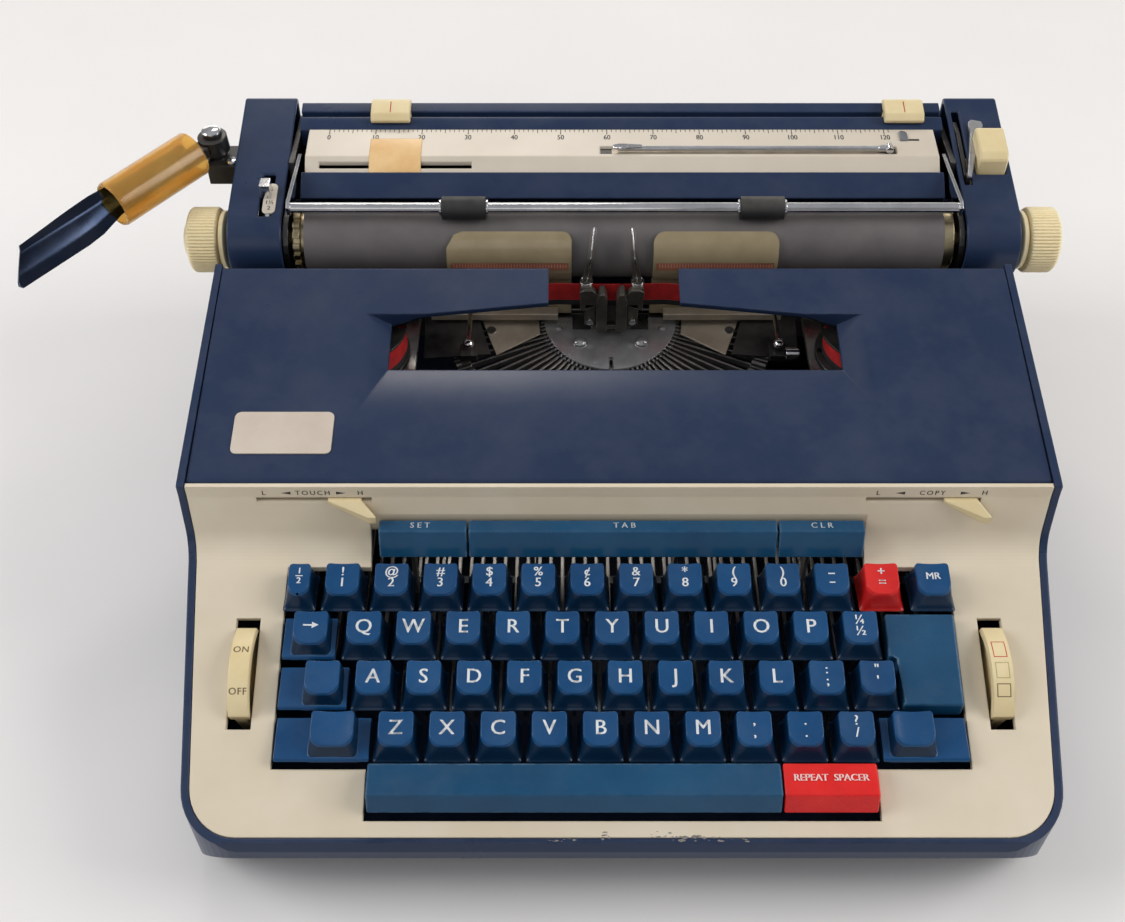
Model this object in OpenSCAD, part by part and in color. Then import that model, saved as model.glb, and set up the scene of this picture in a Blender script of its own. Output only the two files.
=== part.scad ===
// Electric portable typewriter, built from named sub-parts in one frame.
// Millimetres: X to the typist's right, Y to the back, Z up.
// The origin lies on the table under the middle of the body.

/* [Body] */
// Width of the casing at the cover
body_w = 344; // [342:1:352]
// Narrowing of each side towards the front lip
body_taper = 10; // [4:1:14]
// Thickness of the casing walls
wall = 3; // [2.4:0.1:3.4]
// Height of the rubber feet
foot_h = 6; // [4:0.5:9]
// Radius of the rubber feet
foot_r = 9; // [7:0.5:11]
// Height of the deck at the foot of the rise
neck_z = 75.7; // [75:0.1:78]
// Lean of the rise behind the keys, in degrees
rise_a = 76; // [72:1:78]
// Thickness of the keyboard panel
panel_t = 2.5; // [2:0.1:3]

/* [Keyboard] */
// Distance between keys in a row
key_pitch = 19.05; // [18.8:0.05:19.2]
// Distance between rows, front to back
row_pitch = 18.8; // [18.6:0.1:19.4]
// Step up from one row to the next
row_rise = 5.8; // [5.4:0.1:6.2]
// Width of a key cap at its base
key_w = 16; // [15:0.1:16.6]
// Depth of a key cap at its base
key_d = 16.4; // [15:0.1:16.6]
// Width of a key cap at its top
cap_w = 13; // [12:0.1:14]
// Height of a key cap
cap_h = 9.4; // [8:0.1:10]
// Thickness of a key lever
lever_t = 1.5; // [1:0.1:1.8]

/* [Ribbon cover] */
// Length of the cover from its hinge to its rear edge
cover_len = 107; // [106:0.5:110]
// Slope of the cover, in degrees
cover_a = 9.2; // [8.8:0.1:9.6]
// Thickness of the cover
cover_t = 2.4; // [2:0.1:2.8]
// Half width of the type window
window_hw = 94.5; // [90:0.5:98]
// Half width of the rear notch
notch_hw = 28; // [24:0.5:32]

/* [Carriage] */
// Distance of the carriage to the right of the body centre
carriage_x = 5; // [0:0.5:10]
// Width over the carriage end covers
carriage_w = 349; // [347:1:354]
// Radius of the platen
platen_r = 16.5; // [16:0.1:16.6]
// Half length of the platen rubber
platen_hl = 140.7; // [136:0.5:142]
// Radius of the platen knobs
knob_r = 14.6; // [12:0.1:15]
// Width of the platen knobs
knob_w = 17; // [14:0.5:20]
// Radius of the carriage rails
rail_r = 4; // [3:0.1:4.5]
// Running clearance of bores on shafts
fit = 0.05; // [0.03:0.01:0.08]

/* [Return lever] */
// Length of the return lever
lever_len = 105; // [100:1:108]
// Direction of the return lever in plan, in degrees
lever_dir = 229; // [226:1:232]
// Droop of the return lever, in degrees
lever_droop = 3.5; // [2:0.5:4]

/* [Type basket] */
// Number of typebars
bar_n = 43; // [37:2:43]
// Length of a typebar from pivot to tip
bar_len = 47; // [45:0.5:48]
// Radius of the pivots round the segment
pivot_r = 28; // [27:0.5:29]

/* [Hidden] */
$fn = 64;
hw = body_w / 2;
deck_a = atan(row_rise / row_pitch);
neck_y = -57.5;
row1_y = neck_y - 19.1;
row1_z = neck_z + 3.7;
front_y = row1_y - 3 * row_pitch - 37.5;
taper_y = neck_y + 8;
taper_a = atan(body_taper / (taper_y - front_y));
floor_z = foot_h + wall;
under_a = 32;
lip_z = neck_z + (front_y - neck_y) * tan(deck_a) - 9;
split_y = neck_y - 3.5;
rise_top = neck_z + 22.8;
axis_y = -46.2;
axis_z = rise_top + cover_t + 0.4;
cover_end_y = axis_y + cover_len * cos(cover_a);
platen_y = cover_end_y + 29.6;
platen_z = neck_z + 36.8;
rear_y = platen_y + 81.5;
cheek_y = rear_y - 10;
rear_top = neck_z + 16;
plate_x = hw - 17;
ful_y = 20;
ful_z = 46;
ful_r = 2.5;
low_up = 1.2;
opening_hw = 13.75 * key_pitch / 2;
rocker_x = opening_hw + 0.356 * (hw - wall - opening_hw);
rocker_y = row1_y - 31.4;
rocker_r = 27;
seg_y = platen_y - 14;
seg_z = platen_z - 35.5;
seg_tilt = 8;
spool_x = hw - 60;
spool_y = seg_y - 35;
spool_z = neck_z + 13.5;
cw = carriage_w / 2;
side_x = platen_hl + 7.3;
end_k = (cw - side_x - 4.5) / 22;
slide_x = hw - 53;
nose_r = platen_r + 0.5;
rod_y = platen_y - 4.9;
rod_z = platen_z + sqrt(pow(platen_r + 5.4, 2) - 4.9 * 4.9);
rail_z = rear_top - 6;
rail_ys = [platen_y + 29, platen_y + 57];
feed_y = platen_y + 16.7;
feed_z = platen_z - 14;
drive_y = 58;
drive_z = 38;
motor_y = platen_y + 26;
motor_z = 42;
belt_x = 16;
pivot_x = carriage_x - cw - 10.5;
pivot_y = platen_y + 35.7;
pivot_z = platen_z + 27.8;
sleeve_start = 11.2;
sleeve_end = 57;

function row_y(i) = row1_y - i * row_pitch;
function row_z(i) = row1_z - i * row_rise;
function lean_y(z) = front_y + (lip_z - z) * tan(under_a);
function deck_z(y) = neck_z + (y - neck_y) * tan(deck_a);
function cover_z(y) = axis_z + (y - axis_y) * tan(cover_a);
function in_end(x) = side_x + 2.5 + (x - 2.5) * end_k;
function arc(c, r, a0, a1, n = 10) =
    [for (i = [0:n]) let(a = a0 + (a1 - a0) * i / n) c + r * [cos(a), sin(a)]];

// Deck, concave foot, rise and label strip, as a path in Y and Z set back by s
strip_h = 5.1;
bend_r = 14;
bend_l = bend_r * tan((rise_a - deck_a) / 2);
bend_s = [neck_y, neck_z] - bend_l * [cos(deck_a), sin(deck_a)];
bend_c = bend_s + bend_r * [-sin(deck_a), cos(deck_a)];
rise_y = neck_y + (rise_top - neck_z) / tan(rise_a);
function deck_path(s) = concat(
    [[front_y - 4, deck_z(front_y - 4) - s / cos(deck_a)]],
    arc(bend_c, bend_r + s, deck_a - 90, rise_a - 90),
    [[rise_y + s / sin(rise_a), rise_top], [rise_y + 0.6 + 0.8 * s, rise_top + strip_h]]);
function back(p) = [for (i = [len(p) - 1:-1:0]) p[i]];

// Plan outline of the casing, set in by s
function half_plan(s) = let(
    r = 22 - s,
    ye = front_y + s + r - r * sin(taper_a),
    xe = hw - s - (taper_y - ye) * tan(taper_a),
    xc = xe - r * cos(taper_a))
    concat(arc([xc, front_y + s + r], r, -90, -taper_a),
        [[hw - s, taper_y]],
        arc([hw - s - 6, rear_y - s - 6], 6, 0, 90, 5));
function plan(s) = let(h = half_plan(s))
    concat(h, [for (p = back(h)) [-p[0], p[1]]]);

// Keys of a row: x of the middle and width of the base
num_x = -5.65 * key_pitch;
up_x = -5.155 * key_pitch;
home_x = -4.91 * key_pitch;
low_x = -4.41 * key_pitch;
edge_x = opening_hw - 1.4;
num_keys = concat([[-124.6, 11.4]], [for (i = [0:10]) [num_x + i * key_pitch, key_w]],
    [[102.3, key_w], [122.3, key_w]]);
up_keys = [for (i = [0:10]) [up_x + i * key_pitch, key_w]];
home_keys_x = [for (i = [0:10]) [home_x + i * key_pitch, key_w]];
low_keys = [for (i = [0:9]) [low_x + i * key_pitch, key_w]];

// Extrude a Y-Z outline from x0 to x1
module along_x(x0, x1) {
    translate([x0, 0, 0]) rotate([90, 0, 90]) linear_extrude(x1 - x0) children();
}

// Round rod along X
module rod_x(y, z, r, x0, x1) {
    translate([x0, y, z]) rotate([0, 90, 0]) cylinder(h = x1 - x0, r = r);
}

// Box given by its two corners
module box(a, b) {
    translate(a) cube(b - a);
}

// Copy to the other side
module both() {
    children();
    mirror([1, 0, 0]) children();
}

// Round rod along Z
module disc(x, y, z0, z1, r) {
    translate([x, y, z0]) cylinder(h = z1 - z0, r = r);
}

// Outside of the casing: undercut front, deck, rise, cover slope and rear
module case_block() {
    intersection() {
        along_x(-hw - 1, hw + 1) polygon(concat(
            [[lean_y(foot_h), foot_h], [front_y, lip_z], [front_y, deck_z(front_y) - 4],
                [front_y + 1.4, deck_z(front_y + 1.4)]],
            arc(bend_c, bend_r, deck_a - 90, rise_a - 90),
            [[rise_y, rise_top], [rise_y + 0.6, axis_z + cover_t + 0.1],
                [cover_end_y + 2, cover_z(cover_end_y + 2) + cover_t + 0.1],
                [cover_end_y + 4, rear_top], [rear_y + 1, rear_top], [rear_y + 1, foot_h]]));
        linear_extrude(200) polygon(plan(0));
    }
}

// Room inside the casing walls
module case_room() {
    w = wall / cos(under_a);
    intersection() {
        translate([0, 0, floor_z]) linear_extrude(200) polygon(plan(wall));
        along_x(-hw, hw) polygon([[lean_y(floor_z) + w, floor_z],
            [front_y, lip_z + w / tan(under_a)], [front_y, 200], [rear_y, 200],
            [rear_y, floor_z]]);
    }
}

// Floor of the casing with the rear wall turned up
module base_plate() {
    color("midnightblue") difference() {
        intersection() {
            case_block();
            union() {
                box([-hw - 1, front_y - 1, 0], [hw + 1, rear_y + 1, floor_z]);
                box([-hw - 1, cheek_y, 0], [hw + 1, rear_y + 1, 200]);
            }
        }
        case_room();
        translate([-90, rear_y + 2, 40]) rotate([90, 0, 0]) cylinder(h = 12, r = 8);
        for (i = [0:6]) box([40 + i * 12, -10, 0], [46 + i * 12, 30, floor_z + 1]);
    }
}

// Low rim round the keyboard
module front_rim() {
    color("midnightblue") difference() {
        intersection() {
            case_block();
            box([-hw - 1, front_y - 1, floor_z], [hw + 1, split_y, 200]);
        }
        case_room();
    }
}

// Side walls that rise beside the cover and carry its hinge
module side_cheeks() {
    color("midnightblue") difference() {
        intersection() {
            case_block();
            box([-hw - 1, split_y, floor_z], [hw + 1, cheek_y, 200]);
        }
        case_room();
        rod_x(axis_y, axis_z, 1.5 + fit, -hw - 2, hw + 2);
    }
}

// Keyboard panel: deck and rise in one sheet, with openings for the controls
module keyboard_panel() {
    color("antiquewhite") {
        difference() {
            intersection() {
                along_x(-hw, hw) polygon(concat(deck_path(0), back(deck_path(panel_t))));
                linear_extrude(200) polygon(plan(wall + 0.3));
            }
            box([-opening_hw, row_y(3) - 10.4, 0], [opening_hw, row1_y + 10, 120]);
            box([-98, row1_y + 9, 0], [98, rise_y - 2, rise_top - 7.5]);
            box([-95.4, row_y(3) - 28.6, 0], [95.4, row_y(3) - 9, 120]);
            for (s = [-1, 1]) {
                translate([s * rocker_x, rocker_y, deck_z(rocker_y)]) rotate([deck_a, 0, 0])
                    cube([9.4, 44, 14], center = true);
                box([s * slide_x - 22.5, rise_y - 12, rise_top - 2.3],
                    [s * slide_x + 22.5, rise_y + 9, rise_top - 0.3]);
            }
        }
        for (s = [-1, 1]) for (e = [-1, 1]) rocker_lug(s * rocker_x + e * 6.6);
    }
}

// Lug under the panel that carries one end of a rocker pin
module rocker_lug(x) {
    translate([x, rocker_y, deck_z(rocker_y)]) rotate([deck_a, 0, 0]) difference() {
        box([-1, -6, -24], [1, 6, -panel_t + 0.2]);
        rod_x(0, -18.7, 2 + fit, -3, 3);
    }
}

// Rocker: part of a drum that shows above the panel
module rocker(x) {
    translate([x, rocker_y, deck_z(rocker_y)]) rotate([deck_a, 0, 0]) {
        difference() {
            rod_x(0, -18.7, rocker_r, -4, 4);
            for (s = [-1, 1]) translate([0, s * 27.6, -10]) cube([10, 20, 80], center = true);
            box([-5, -30, -60], [5, 30, -23.5]);
            rod_x(0, -18.7, rocker_r - 3, -5, -2.4);
            rod_x(0, -18.7, rocker_r - 3, 2.4, 5);
        }
        rod_x(0, -18.7, 2, -7.4, 7.4);
    }
}

module power_rocker() {
    color("cornsilk") rocker(-rocker_x);
}

module ribbon_selector() {
    color("cornsilk") rocker(rocker_x);
}

// Sliding tab in a slot of the rise, its point turned down and to the right
module slide_tab(x) {
    translate([x, rise_y, rise_top - 1.3]) {
        box([-6, -1.5, -0.6], [7, 5, 0.6]);
        box([-7, 3.4, -6], [8, 5, 0.8]);
        hull() {
            box([-6, -1.6, -0.7], [7, -0.9, 0.7]);
            box([9.8, -6.2, -7.4], [12.4, -5.4, -4]);
        }
    }
}

module touch_lever() {
    color("cornsilk") slide_tab(-slide_x + 11.5);
}

module copy_lever() {
    color("cornsilk") slide_tab(slide_x + 14);
}

module rubber_feet() {
    color("dimgray") {
        for (sx = [-1, 1]) for (y = [front_y + 28, rear_y - 26]) foot(sx * (hw - 34), y);
        foot(0, 0);
    }
}

// Round pad, widest just above the table
module foot(x, y) {
    translate([x, y, 0]) rotate_extrude()
        polygon([[0, 0], [foot_r - 1, 0], [foot_r, 1], [foot_r - 1, foot_h], [0, foot_h]]);
}

// Side plates, cross beam, spool shelves and posts
module chassis() {
    zt = rear_top - 1;
    color("lightsteelblue") {
        for (s = [-1, 1]) {
            difference() {
                along_x(s * plate_x - 1.5, s * plate_x + 1.5) polygon([[-40, floor_z],
                    [-40, 60], [0, 86], [rear_y - 30, zt], [rear_y - 8, zt],
                    [rear_y - 8, floor_z]]);
                rod_x(ful_y, ful_z, ful_r + 0.02, s * plate_x - 4, s * plate_x + 4);
                rod_x(drive_y, drive_z, 6 + fit, s * plate_x - 4, s * plate_x + 4);
                for (y = rail_ys)
                    rod_x(y, rail_z, rail_r + 0.02, s * plate_x - 4, s * plate_x + 4);
            }
            box([s > 0 ? spool_x - 26 : -plate_x + 1, spool_y - 24, spool_z - 3],
                [s > 0 ? plate_x - 1 : -spool_x + 26, spool_y + 24, spool_z - 0.6]);
            disc(s * spool_x, spool_y, spool_z - 2, spool_z + 15, 3);
        }
        box([-plate_x + 1, seg_y + 4, seg_z - 14], [plate_x - 1, seg_y + 8, seg_z + 3]);
        box([-plate_x + 1, -36, floor_z], [plate_x - 1, -32, 22]);
        box([-plate_x + 1, rear_y - 16, 20], [plate_x - 1, rear_y - 13, 50]);
    }
}

module fulcrum_shaft() {
    color("silver") rod_x(ful_y, ful_z, ful_r, -plate_x - 1.5, plate_x + 1.5);
}

module carriage_rails() {
    color("silver") for (y = rail_ys)
        rod_x(y, rail_z, rail_r, -plate_x - 1.5, plate_x + 1.5);
}

// Half disc with a slot for each typebar
module type_segment() {
    color("gainsboro") {
        difference() {
            translate([0, seg_y, seg_z]) rotate([seg_tilt, 0, 0]) {
                difference() {
                    disc(0, 0, -6, 1, pivot_r + 4);
                    box([-60, 3, -10], [60, 60, 10]);
                    for (i = [0:bar_n - 1]) rotate([0, 0, bar_a(i)])
                        box([-0.55, -pivot_r - 8, -10], [0.55, -pivot_r + 3.5, 10]);
                }
            }
            box([-9, seg_y - 2, seg_z - 1], [9, seg_y + 12, seg_z + 8]);
        }
        box([-16, seg_y - 4, seg_z - 8], [16, seg_y + 4, seg_z - 3]);
    }
}

function bar_a(i) = (i - (bar_n - 1) / 2) * 168 / (bar_n - 1);

// One typebar with its slug, lying forward from the segment
module bar(a) {
    translate([0, seg_y, seg_z]) rotate([seg_tilt, 0, 0]) rotate([0, 0, a]) {
        tip = pivot_r + bar_len;
        along_x(-0.35, 0.35) polygon([[-pivot_r + 1.7, -3.8], [-pivot_r + 1.7, -0.4],
            [-tip, -0.4], [-tip, -3.8]]);
        box([-1.3, -tip - 0.4, -3.8], [1.3, -tip + 6.5, -0.4]);
        box([-0.9, -tip - 0.4, -1], [0.9, -tip + 6.5, 1.8]);
    }
}

module typebars() {
    color("dimgray") for (i = [0:bar_n - 1])
        if (abs(bar_a(i)) > 0.1) bar(bar_a(i));
}

module centre_typebar() {
    color("dimgray") {
        bar(0);
        translate([0, seg_y, seg_z]) rotate([seg_tilt, 0, 0]) rod_x(-pivot_r, -2, 1.7, -0.5, 0.5);
    }
}

// Guide block with its slot, two card fingers and a foot on the beam
module type_guide() {
    color("slategray") difference() {
        union() {
            box([-7, seg_y - 14, seg_z + 3], [7, seg_y - 7, platen_z - 8.5]);
            box([-12, seg_y - 14, seg_z + 3], [12, seg_y + 8, seg_z + 5.5]);
            box([-15, seg_y - 11, platen_z - 17], [15, seg_y - 7.6, platen_z - 9]);
            both() difference() {
                rod_x(platen_y, platen_z, platen_r + 5.2, 11, 15);
                rod_x(platen_y, platen_z, platen_r + 3.7, 10, 16);
                along_x(9, 17) polygon([[platen_y, platen_z], [platen_y - 30, platen_z - 14],
                    [platen_y - 30, platen_z - 60], [platen_y + 60, platen_z - 60],
                    [platen_y + 60, platen_z + 60], [platen_y - 30 * cos(52) / sin(52),
                        platen_z + 30]]);
            }
        }
        box([-2, seg_y - 20, seg_z + 5.5], [2, seg_y, platen_z + 40]);
    }
}

// Two clear plates that follow the front of the platen
module card_holders() {
    r0 = platen_r + 0.8;
    color("khaki", 0.6) both() {
        difference() {
            rod_x(platen_y, platen_z, r0 + 0.8, 18, 73);
            rod_x(platen_y, platen_z, r0, 17, 74);
            along_x(17, 74) polygon([[platen_y, platen_z], [platen_y - 40 * cos(42),
                platen_z - 40 * sin(42)], [platen_y - 20, platen_z - 60],
                [platen_y + 60, platen_z - 60], [platen_y + 60, platen_z + 60],
                [platen_y - 40 * cos(50), platen_z + 40 * sin(50)]]);
        }
        box([18, platen_y - r0 * cos(42) - 0.9, seg_z + 3],
            [73, platen_y - r0 * cos(42) - 0.1, platen_z - r0 * sin(42) + 0.2]);
        box([18, platen_y - r0 * cos(42) - 0.9, seg_z + 3], [73, seg_y + 8, seg_z + 4]);
    }
}

// Ribbon strung between the spools and past the type guide
module ribbon() {
    y1 = platen_y - platen_r - 2.3;
    y0 = spool_y + 18.2;
    color("firebrick") translate([0, 0, spool_z + 1.7]) linear_extrude(12.2) polygon([
        [-spool_x + 1, y0], [-24, y1 - 0.3], [24, y1 - 0.3], [spool_x - 1, y0],
        [spool_x - 1, y0 + 0.35], [24, y1], [-24, y1], [-spool_x + 1, y0 + 0.35]]);
}

// Spool with the wound ribbon as one smooth pack
module spool(s) {
    translate([s * spool_x, spool_y, spool_z]) difference() {
        rotate_extrude() polygon([[3 + fit, 0], [23, 0], [23, 1.2], [18, 1.4], [18, 14.2],
            [23, 14.4], [23, 15.4], [3 + fit, 15.4]]);
        for (i = [0:5]) rotate([0, 0, i * 60]) translate([20.6, 0, -1]) cylinder(h = 18, r = 1.5);
    }
}

module left_spool() {
    color("dimgray") spool(-1);
}

module right_spool() {
    color("dimgray") spool(1);
}

// Motor can on a foot, with a bore for the pulley shaft
module motor() {
    color("gray") difference() {
        union() {
            rod_x(motor_y, motor_z, 25, 40, 110);
            rod_x(motor_y, motor_z, 9, 34, 41);
            box([48, motor_y - 18, floor_z], [102, motor_y + 18, motor_z - 12]);
        }
        rod_x(motor_y, motor_z, 2.5 + fit, 30, 44);
        for (i = [0:7]) rotate_about(motor_y, motor_z, i * 45)
            box([60, motor_y - 3, motor_z + 22], [92, motor_y + 3, motor_z + 30]);
    }
}

// Turn about a line along X
module rotate_about(y, z, a) {
    translate([0, y, z]) rotate([a, 0, 0]) translate([0, -y, -z]) children();
}

// Grooved pulley along X
module pulley(y, z, r, x) {
    translate([x, y, z]) rotate([0, 90, 0]) rotate_extrude() polygon([[0, 0], [r + 2, 0],
        [r + 2, 1], [r, 1.5], [r, 5.5], [r + 2, 6], [r + 2, 7], [0, 7]]);
}

module motor_pulley() {
    color("silver") {
        rod_x(motor_y, motor_z, 2.5, belt_x - 2, 43);
        pulley(motor_y, motor_z, 8, belt_x);
    }
}

module power_roller() {
    color("dimgray") {
        rod_x(drive_y, drive_z, 6, -plate_x - 1.5, plate_x + 1.5);
        pulley(drive_y, drive_z, 16, belt_x);
    }
}

// Flat belt round the two pulleys
module drive_belt() {
    color("black") along_x(belt_x + 1.8, belt_x + 5.2) difference() {
        belt_loop(1.5);
        belt_loop(0.3);
    }
}

module belt_loop(s) {
    hull() {
        translate([motor_y, motor_z]) circle(r = 8 + s);
        translate([drive_y, drive_z]) circle(r = 16 + s);
    }
}

// Bush in the rear wall where the cord would enter
module cord_gland() {
    color("black") translate([-90, rear_y + 3, 40]) rotate([90, 0, 0]) difference() {
        union() {
            cylinder(h = 3, r = 10);
            cylinder(h = 9, r = 7.95);
        }
        translate([0, 0, -1]) cylinder(h = 12, r = 4);
    }
}

// Cover in its own slope: y from the hinge, z out of the top face
module cover_frame() {
    translate([0, axis_y, axis_z]) rotate([cover_a, 0, 0]) children();
}

function window_pts() = [[-window_hw, 56.5], [window_hw, 56.5], [window_hw, 80.3],
    [notch_hw, 88], [notch_hw, 130], [-notch_hw, 130], [-notch_hw, 88], [-window_hw, 80.3]];

// Sunken tray round the window, between a wide top and a narrow foot
module tray(d) {
    hull() {
        translate([0, 0, cover_t - d]) linear_extrude(d > 0 ? 0.1 : 3)
            polygon([[-106, 30], [106, 30], [104.5, 82], [-104.5, 82]]);
        translate([0, 0, -3 - d]) linear_extrude(0.1)
            polygon([[-window_hw + 0.1, 56.4], [window_hw - 0.1, 56.4],
                [window_hw - 0.1, 80.2], [-window_hw + 0.1, 80.2]]);
    }
}

module ribbon_cover() {
    cx = hw - wall - 0.5;
    color("midnightblue") cover_frame() {
        difference() {
            union() {
                box([-cx, 0, 0], [cx, cover_len, cover_t]);
                rod_x(0, 0, cover_t, -cx, cx);
                tray(2);
                for (s = [-1, 1]) {
                    box([s > 0 ? cx - 2 : -cx, 5, -6], [s > 0 ? cx : -cx + 2, cover_len, 1]);
                    box([s > 0 ? notch_hw : -cx, cover_len - 2, -3],
                        [s > 0 ? cx : -notch_hw, cover_len, 1]);
                }
            }
            tray(0);
            translate([0, 0, -20]) linear_extrude(60) polygon(window_pts());
        }
        rod_x(0, 0, 1.5, cx - 2, hw - 0.6);
        rod_x(0, 0, 1.5, -hw + 0.6, -cx + 2);
    }
}

// Everything on the carriage is drawn about its own middle
module on_carriage() {
    translate([carriage_x, 0, 0]) children();
}

// Side outline of the carriage end, set in by s
function end_outline(s) = concat(
    [[platen_y + 68 - s, rear_top + 7 + s], [platen_y + 68 - s, platen_z + 29 - s],
        [platen_y + 66 - s, platen_z + 30.2 - s]],
    arc([platen_y, platen_z], nose_r - s, 101, 215, 12),
    [[platen_y - 8, rear_top + 7 + s]]);

// Plates, tray and bearing blocks that run on the rails
module carriage_frame() {
    zb = rear_top + 3;
    color("slategray") on_carriage() {
        for (s = [-1, 1]) {
            difference() {
                along_x(s > 0 ? side_x : -side_x - 2.4, s > 0 ? side_x + 2.4 : -side_x)
                    polygon(concat([[platen_y + 66, zb], [platen_y + 66, platen_z + 21],
                        [platen_y + 26, platen_z + 23], [platen_y + 24, platen_z + 12]],
                        arc([platen_y, platen_z], nose_r - 3, 80, 225, 10),
                        [[platen_y - 6, zb + 1], [platen_y + 4, zb]]));
                rod_x(platen_y, platen_z, 4 + fit, -side_x - 4, side_x + 4);
                rod_x(feed_y, feed_z, 2.5 + fit, -side_x - 4, side_x + 4);
                rod_x(platen_y + 33, platen_z + 18, 2 + fit, -side_x - 4, side_x + 4);
            }
            for (y = rail_ys) difference() {
                box([s * 24 - 10, y - 7, rail_z - 7], [s * 24 + 10, y + 7, zb + 0.5]);
                rod_x(y, rail_z, rail_r + fit, s * 24 - 20, s * 24 + 20);
            }
        }
        box([-side_x - 0.5, platen_y + 23, zb], [side_x + 0.5, platen_y + 66, zb + 2.5]);
        box([-side_x - 0.5, platen_y + 64, zb], [side_x + 0.5, platen_y + 66, zb + 34]);
    }
}

// Hollow end cover from the side plate outward
module end_cover(s, x0, x1) {
    difference() {
        along_x(s > 0 ? x0 : -x1, s > 0 ? x1 : -x0) polygon(end_outline(0));
        along_x(s > 0 ? x0 - 1 : -x1 + 2, s > 0 ? x1 - 2 : -x0 + 1) polygon(end_outline(2));
        rod_x(platen_y, platen_z, 6, -cw - 1, cw + 1);
    }
}

module end_covers() {
    color("midnightblue") on_carriage() {
        difference() {
            end_cover(-1, side_x + 2.5, cw);
            box([-in_end(13), platen_y - 4, platen_z + 8],
                [-in_end(7.5), platen_y + 20, platen_z + 40]);
        }
        difference() {
            end_cover(1, side_x + 2.5, cw);
            box([in_end(10.4), platen_y + 20, platen_z + 10],
                [in_end(24.2), platen_y + 39, platen_z + 50]);
            box([in_end(4.6), platen_y + 14, platen_z + 10],
                [in_end(8), platen_y + 58, platen_z + 50]);
        }
    }
}

// Curved apron behind the platen and the sheet that rises from it
module paper_table() {
    r = platen_r + 1.5;
    color("midnightblue") on_carriage() {
        difference() {
            rod_x(platen_y, platen_z, r + 1.2, -side_x + 0.1, side_x - 0.1);
            rod_x(platen_y, platen_z, r, -side_x, side_x);
            along_x(-side_x, side_x) polygon([[platen_y, platen_z],
                [platen_y + 40 * cos(12), platen_z - 40 * sin(12)],
                [platen_y + 40, platen_z - 60], [platen_y - 60, platen_z - 60],
                [platen_y - 60, platen_z + 60],
                [platen_y + 40 * cos(50), platen_z + 60],
                [platen_y + 40 * cos(50), platen_z + 40 * sin(50)]]);
            box([-side_x, platen_y + 10, platen_z + 10.5],
                [-side_x + 3.4, platen_y + 30, platen_z + 30]);
            box([side_x - 3.4, platen_y + 10, platen_z + 10.5],
                [side_x, platen_y + 30, platen_z + 30]);
        }
        along_x(-side_x + 3.4, side_x - 3.4) polygon([[platen_y + r * cos(50), platen_z + r * sin(50)],
            [platen_y + 22.6, platen_z + 19.6], [platen_y + 21.8, platen_z + 21],
            [platen_y + r * cos(50) - 0.7, platen_z + r * sin(50) + 0.9]]);
    }
}

// Front facet, crease and top facet that carry the scale
module scale_panel() {
    color("antiquewhite") on_carriage() difference() {
        along_x(-side_x + 4.7, side_x - 4.7) polygon([[platen_y + 22.4, platen_z + 19.2],
            [platen_y + 29.3, platen_z + 24.1], [platen_y + 46.6, platen_z + 25.6],
            [platen_y + 48, platen_z + 25.6], [platen_y + 48, platen_z + 23.4],
            [platen_y + 29.8, platen_z + 22], [platen_y + 22.9, platen_z + 17.4]]);
        box([-side_x + 11, platen_y + 24.8, platen_z + 10],
            [-side_x + 80, platen_y + 27.2, platen_z + 40]);
        box([side_x - 158, platen_y + 31, platen_z + 23.4],
            [side_x - 23.5, platen_y + 36, platen_z + 40]);
    }
}

// Bar with a groove along its top for the margin stops
module margin_rail() {
    color("midnightblue") on_carriage() difference() {
        along_x(-side_x + 0.1, side_x - 0.1) polygon([[platen_y + 48.1, platen_z + 16],
            [platen_y + 48.1, platen_z + 25.2], [platen_y + 52, platen_z + 27.2],
            [platen_y + 63.8, platen_z + 29.4], [platen_y + 63.8, platen_z + 16]]);
        box([-side_x - 1, platen_y + 55, platen_z + 22], [side_x + 1, platen_y + 58, platen_z + 40]);
    }
}

// Ribbed block that rides in the groove of the rail
module margin_stop(x) {
    on_carriage() translate([x, platen_y, platen_z]) difference() {
        union() {
            along_x(-9, 9) polygon([[50.4, 27], [52, 28], [63, 30.1], [63, 31.8], [60, 33.2],
                [52, 31.6], [49.6, 29]]);
            box([-9, 55.4, 23.4], [9, 57.6, 30]);
        }
        for (i = [-3:3]) box([i * 2.2 - 0.4, 48, 32.2], [i * 2.2 + 0.4, 66, 36]);
    }
}

module left_margin_stop() {
    color("cornsilk") margin_stop(-side_x + 42);
}

module right_margin_stop() {
    color("cornsilk") margin_stop(side_x - 18);
}

module platen_roller() {
    color("dimgray") on_carriage() difference() {
        rod_x(platen_y, platen_z, platen_r, -platen_hl, platen_hl);
        rod_x(platen_y, platen_z, 12.02, -platen_hl - 1, platen_hl + 1);
    }
}

// Core, end discs, ratchet wheel and the shaft that carries the knobs
module platen_shaft() {
    color("silver") on_carriage() {
        difference() {
            union() {
                rod_x(platen_y, platen_z, 12, -platen_hl - 1, platen_hl + 1);
                rod_x(platen_y, platen_z, 15, platen_hl + 0.3, platen_hl + 4.6);
                rod_x(platen_y, platen_z, 13, -platen_hl - 2.4, -platen_hl - 0.3);
                rod_x(platen_y, platen_z, 15.6, -platen_hl - 5, -platen_hl - 2);
            }
            for (i = [0:19]) rotate_about(platen_y, platen_z, i * 18)
                box([-platen_hl - 6, platen_y - 1.2, platen_z + 13.9],
                    [-platen_hl - 1.9, platen_y + 1.2, platen_z + 18]);
        }
        rod_x(platen_y, platen_z, 4, -cw - 2 - knob_w + 3, cw + 2 + knob_w - 3);
    }
}

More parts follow.
